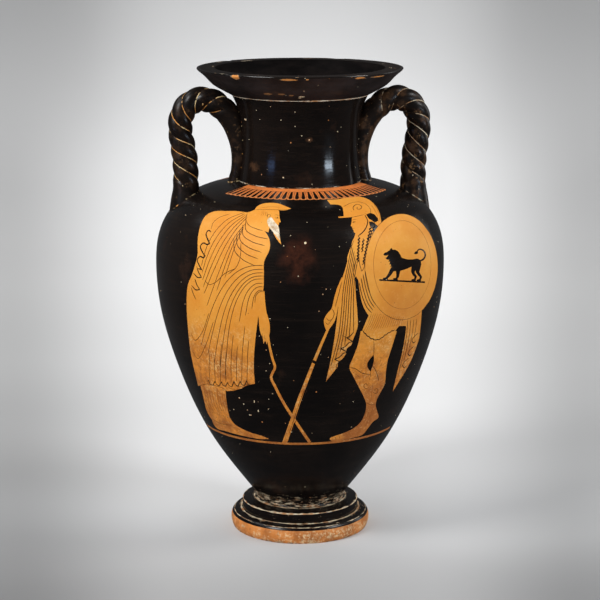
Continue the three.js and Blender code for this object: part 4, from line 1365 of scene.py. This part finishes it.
def make_clay(name="red_clay", low=True):
    p = Paint(name)
    tone = p.noise(24.0, 5, 0.6, (2, 2, 0))
    fine = p.noise(210.0, 3, 0.6, (0, 4, 1))
    bright = p.mix(p.step(tone, 0.3, 0.7), lin(224, 154, 62), lin(216, 138, 47))
    dull = p.mix(p.step(p.noise(48.0, 5, 0.68, (4, 4, 4)), 0.36, 0.66), lin(226, 143, 52), lin(174, 101, 40))
    down = p.math("ADD", p.z, p.math("MULTIPLY", p.math("SUBTRACT", p.noise(20.0, 4, 0.6, (1, 9, 2)), 0.5), 0.09))
    base = p.mix(p.step(down, 0.31, 0.24), bright, dull)
    patch = p.step(p.noise(42.0, 4, 0.65, (6, 0, 3)), 0.44, 0.62)
    grain = p.step(p.noise(330.0, 4, 0.7, (2, 0, 7)), 0.46, 0.62)
    crust = p.math("MULTIPLY", p.math("MULTIPLY", p.math("MULTIPLY", p.step(down, 0.33, 0.25), p.step(down, 0.16, 0.24, 0.25, 1.0)), patch), grain)
    base = p.mix(p.math("MULTIPLY", crust, 0.72), base, lin(241, 198, 128))
    shade = p.most(p.math("MULTIPLY", p.near(wall_point((408, 305)), (0.045, 0.045, 0.030), 0.3, 40.0, (3, 0, 0), 0.7), 0.5),
                   p.math("MULTIPLY", p.step(p.xyz.outputs[0], 0.03, 0.05), p.step(down, 0.25, 0.18)))
    base = p.mix(p.math("MULTIPLY", shade, 0.75), base, lin(166, 95, 44))
    base = p.mix(p.step(p.z, 0.1500, 0.1472, 0.0, 0.55), base, lin(156, 88, 40))
    mottle = p.math("MULTIPLY", p.step(down, 0.33, 0.22), p.step(p.noise(95.0, 5, 0.72, (3, 7, 1)), 0.44, 0.64))
    base = p.mix(p.math("MULTIPLY", mottle, 0.55), base, lin(148, 80, 30))
    fleck = p.math("MULTIPLY", p.step(down, 0.31, 0.22), p.step(p.noise(380.0, 4, 0.72, (1, 3, 9)), 0.57, 0.66))
    base = p.mix(p.math("MULTIPLY", fleck, 0.42), base, lin(244, 200, 134))
    pit = p.math("MULTIPLY", p.step(down, 0.34, 0.24), p.step(p.noise(270.0, 4, 0.7, (8, 1, 0)), 0.56, 0.68))
    base = p.mix(p.math("MULTIPLY", pit, 0.55), base, lin(132, 72, 32))
    band = p.mix(p.step(p.z, 0.4512, 0.4536), lin(204, 124, 68), lin(222, 126, 60))
    z_band = float(on_wall(S_BAND)[1])
    base = p.mix(p.step(p.z, z_band - 0.0004, z_band + 0.0002), base, p.mix(p.step(fine, 0.45, 0.7), band, lin(176, 98, 50)))
    grains = p.specks(330.0, 0.24, 0.12, (5, 1, 2))
    base = p.mix(p.math("MULTIPLY", grains, 0.55), base, lin(120, 66, 34))
    wash = p.math("MULTIPLY", p.step(fine, 0.55, 0.7), 0.14)
    base = p.mix(wash, base, lin(236, 178, 110))
    p.t.links.new(base, p.b.inputs["Base Color"])
    p.t.links.new(p.step(tone, 0.3, 0.7, 0.44, 0.6), p.b.inputs["Roughness"])
    p.b.inputs["Specular IOR Level"].default_value = 0.16
    p.bump(p.math("ADD", fine, p.math("MULTIPLY", crust, 0.9)), 0.3, 0.0002)
    return p.m


def make_white():
    p = Paint("added_white")
    tone = p.noise(160.0, 4, 0.6, (2, 5, 0))
    base = p.mix(p.step(tone, 0.4, 0.65), lin(226, 214, 190), lin(196, 168, 128))
    p.t.links.new(base, p.b.inputs["Base Color"])
    p.b.inputs["Roughness"].default_value = 0.75
    p.b.inputs["Specular IOR Level"].default_value = 0.25
    p.bump(tone, 0.4, 0.0003)
    return p.m


def make_foot():
    p = Paint("foot_clay")
    tone = p.noise(34.0, 5, 0.65, (3, 1, 0))
    base = p.mix(p.step(tone, 0.35, 0.65), lin(208, 130, 62), lin(158, 94, 44))
    patch = p.step(p.noise(46.0, 4, 0.6, (7, 2, 1), (1, 1, 2.0)), 0.40, 0.55)
    stain = p.math("MULTIPLY", patch, p.step(p.noise(300.0, 4, 0.7, (2, 2, 1)), 0.46, 0.60))
    stain = p.math("MULTIPLY", stain, p.step(p.z, 0.017, 0.010, 0.40, 1.0))
    base = p.mix(p.math("MULTIPLY", stain, 0.72), base, lin(226, 204, 160))
    grime = p.math("MULTIPLY", p.step(p.z, 0.0035, 0.0), p.step(p.noise(120.0, 4, 0.7, (9, 2, 1)), 0.42, 0.60))
    base = p.mix(p.math("MULTIPLY", grime, 0.7), base, lin(70, 48, 34))
    dark = p.math("MULTIPLY", p.step(p.noise(150.0, 5, 0.7, (1, 2, 8)), 0.58, 0.68), 0.5)
    base = p.mix(dark, base, lin(88, 54, 34))
    line = p.ring(0.0192, 0.0009, 0.42, 50.0, 2.0)
    base = p.mix(p.math("MULTIPLY", line, 0.8), base, lin(52, 34, 26))
    p.t.links.new(base, p.b.inputs["Base Color"])
    p.t.links.new(p.step(tone, 0.3, 0.7, 0.5, 0.75), p.b.inputs["Roughness"])
    p.b.inputs["Specular IOR Level"].default_value = 0.28
    p.bump(p.math("ADD", p.noise(240.0, 3, 0.6), p.math("MULTIPLY", stain, 0.5)), 0.4, 0.0003)
    return p.m


def make_inside():
    p = Paint("inside_clay")
    tone = p.noise(26.0, 5, 0.62, (3, 6, 0), (1, 1, 5))
    base = p.mix(p.step(tone, 0.35, 0.65), lin(158, 98, 62), lin(118, 70, 46))
    p.t.links.new(base, p.b.inputs["Base Color"])
    p.b.inputs["Roughness"].default_value = 0.82
    p.b.inputs["Specular IOR Level"].default_value = 0.2
    p.bump(tone, 0.5, 0.0006)
    return p.m


def make_throat():
    """The slip inside the mouth and neck, dull and dark."""
    p = Paint("throat_slip")
    tone = p.noise(40.0, 4, 0.6, at=p.wheel(4.0, 2.0))
    base = p.mix(p.step(tone, 0.35, 0.7), lin(12, 10, 10), lin(24, 20, 19))
    p.t.links.new(base, p.b.inputs["Base Color"])
    p.b.inputs["Roughness"].default_value = 0.6
    p.b.inputs["Specular IOR Level"].default_value = 0.02
    return p.m


def make_line(name, a, b, rough):
    p = Paint(name)
    tone = p.noise(90.0, 4, 0.6, (3, 3, 0))
    base = p.mix(p.step(tone, 0.4, 0.62), a, b)
    p.t.links.new(base, p.b.inputs["Base Color"])
    p.t.links.new(p.step(tone, 0.3, 0.7, rough, rough + 0.12), p.b.inputs["Roughness"])
    p.b.inputs["Specular IOR Level"].default_value = 0.12
    return p.m


table = [make_black(), make_clay(), make_white(), make_handle(), make_foot(), make_inside(), make_throat()]
for k, m in enumerate(table):
    amphora.data.materials[k] = m
for m in (make_line("relief_line", lin(30, 17, 10), lin(54, 30, 16), 0.45), make_line("dilute_line", lin(142, 76, 28), lin(112, 56, 20), 0.4),
          make_line("ink_line", lin(16, 11, 9), lin(26, 18, 13), 0.45)):
    lines.data.materials.append(m)

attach(amphora, "root")
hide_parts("amphora")
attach(lines, "root")


# ------------------------------------------------------------ floor and light
def sweep():
    """A pale floor that turns up into a backdrop, its colour a painted pool of light: brightest behind the pot, darker
    to the sides, in front of the pot and high on the backdrop.
    """
    prof = [(-5.0, 0.0), (1.75, 0.0)]
    for i in range(1, 25):
        a = math.pi / 2 * i / 24
        prof.append((1.75 + 1.3 * math.sin(a), 1.3 * (1 - math.cos(a))))
    prof.append((3.05, 4.2))
    v, f = [], []
    for y, z in prof:
        v += [(-5.0, y, z), (5.0, y, z)]
    for i in range(len(prof) - 1):
        f.append((2 * i, 2 * i + 1, 2 * i + 3, 2 * i + 2))
    m = bpy.data.meshes.new("backdrop")
    m.from_pydata(v, [], f)
    for q in m.polygons:
        q.use_smooth = True
    o = bpy.data.objects.new("backdrop", m)
    bpy.context.scene.collection.objects.link(o)
    o.rotation_euler = (0, 0, -CAM_TURN)
    p = Paint("paper")
    # painted light: the paper's colour falls off from a bright pool behind the pot to darker sides, a darker floor in
    # front and a darker upper backdrop
    x, y = p.xyz.outputs[0], p.xyz.outputs[1]
    reach = p.math("ADD", p.math("MULTIPLY", p.math("MAXIMUM", y, -0.6), 0.233), 0.578)
    off = p.math("DIVIDE", p.math("ABSOLUTE", x), reach)
    wide = p.step(off, 0.279, 0.658, 1.0, 0.56)
    near = p.step(y, -0.34, 0.14, 0.47, 0.82)
    far = p.math("MULTIPLY", p.step(y, 0.95, 2.05, 1.0, 1.25), p.step(y, 2.25, 2.95, 1.0, 0.68))
    middle = p.math("MULTIPLY", p.step(off, 0.42, 0.05, 0.0, 0.13), p.step(y, 1.9, 2.6))
    right = p.math("MULTIPLY", p.step(x, 0.0, 0.45, 0.0, 0.22), p.step(y, 0.75, 0.15))
    middle = p.math("ADD", middle, p.math("MULTIPLY", p.step(off, 0.45, 0.68, 0.0, 0.36), p.step(y, 2.2, 2.75)))
    left = p.math("MULTIPLY", p.math("MULTIPLY", p.step(x, -0.10, -0.35, 0.0, 0.10), p.step(y, 0.9, 0.5)), p.step(y, -0.05, 0.2))
    tone = p.math("MULTIPLY", p.math("MULTIPLY", wide, near), far)
    tone = p.math("MULTIPLY", tone, p.math("SUBTRACT", p.math("ADD", p.math("ADD", right, middle), 1.0), left))
    p.t.links.new(p.mix(tone, (0.0, 0.0, 0.0, 1), (0.755, 0.755, 0.755, 1)), p.b.inputs["Base Color"])
    p.b.inputs["Roughness"].default_value = 0.95
    p.b.inputs["Specular IOR Level"].default_value = 0.0
    m.materials.append(p.m)
    o.visible_glossy = False
    return o


sweep()


def lamp(name, at, to, size, power, colour=(1, 1, 1)):
    """A soft box at a place, turned to another."""
    d = bpy.data.lights.new(name, "AREA")
    d.shape = "RECTANGLE"
    d.size, d.size_y = size
    d.energy = power
    d.color = colour
    o = bpy.data.objects.new(name, d)
    bpy.context.scene.collection.objects.link(o)
    o.location = at
    o.rotation_euler = (Vector(to) - Vector(at)).to_track_quat("-Z", "Y").to_euler()
    return o


def round_at(degrees, distance, z):
    """A place round the pot, by angle to the right of the camera."""
    a = math.radians(-94.5 + degrees)
    return (distance * math.cos(a), distance * math.sin(a), z)


lamp("key_left", round_at(-52, 1.93, 2.09), (0, 0, 0.35), (0.9, 0.9), 52.0)
lamp("key_right", round_at(76, 1.93, 2.05), (0, 0, 0.35), (0.8, 0.8), 29.0)
lamp("top_left", round_at(-104, 1.6, 2.2), (0, 0, 0.40), (0.9, 0.9), 9.0)
lamp("box_left", round_at(-56, 1.9, 0.44), (0, 0, 0.44), (0.45, 0.12), 1.2, (0.30, 0.50, 1.0))
lamp("box_right", round_at(56, 1.9, 0.44), (0, 0, 0.44), (0.50, 0.12), 7.0, (0.72, 0.85, 1.0))
lamp("rear_right", round_at(118, 1.7, 0.8), (0, 0, 0.35), (0.5, 1.0), 4.0)
# soft light that the gloss doesn't show
for k, (turn, far, z, watts) in enumerate(((-24, 2.3, 0.40, 12.5), (24, 2.3, 0.40, 9.5), (150, 2.0, 1.6, 12.0), (-150, 2.0, 1.6, 12.0))):
    lamp("fill_%d" % k, round_at(turn, far, z), (0, 0, 0.25), (1.2, 0.9), watts).visible_glossy = False

lamp("paper_light", (0.07, 0.9, 1.9), (0.24, 3.0, 0.4), (2.6, 0.5), 20.0).visible_glossy = False

world = bpy.data.worlds.new("studio")
bpy.context.scene.world = world
world.use_nodes = True
world.node_tree.nodes["Background"].inputs[0].default_value = (0.80, 0.82, 0.85, 1)
world.node_tree.nodes["Background"].inputs[1].default_value = 0.10
bpy.context.scene.view_settings.view_transform = "Standard"
bpy.context.scene.view_settings.look = "None"

bpy.context.view_layer.update()
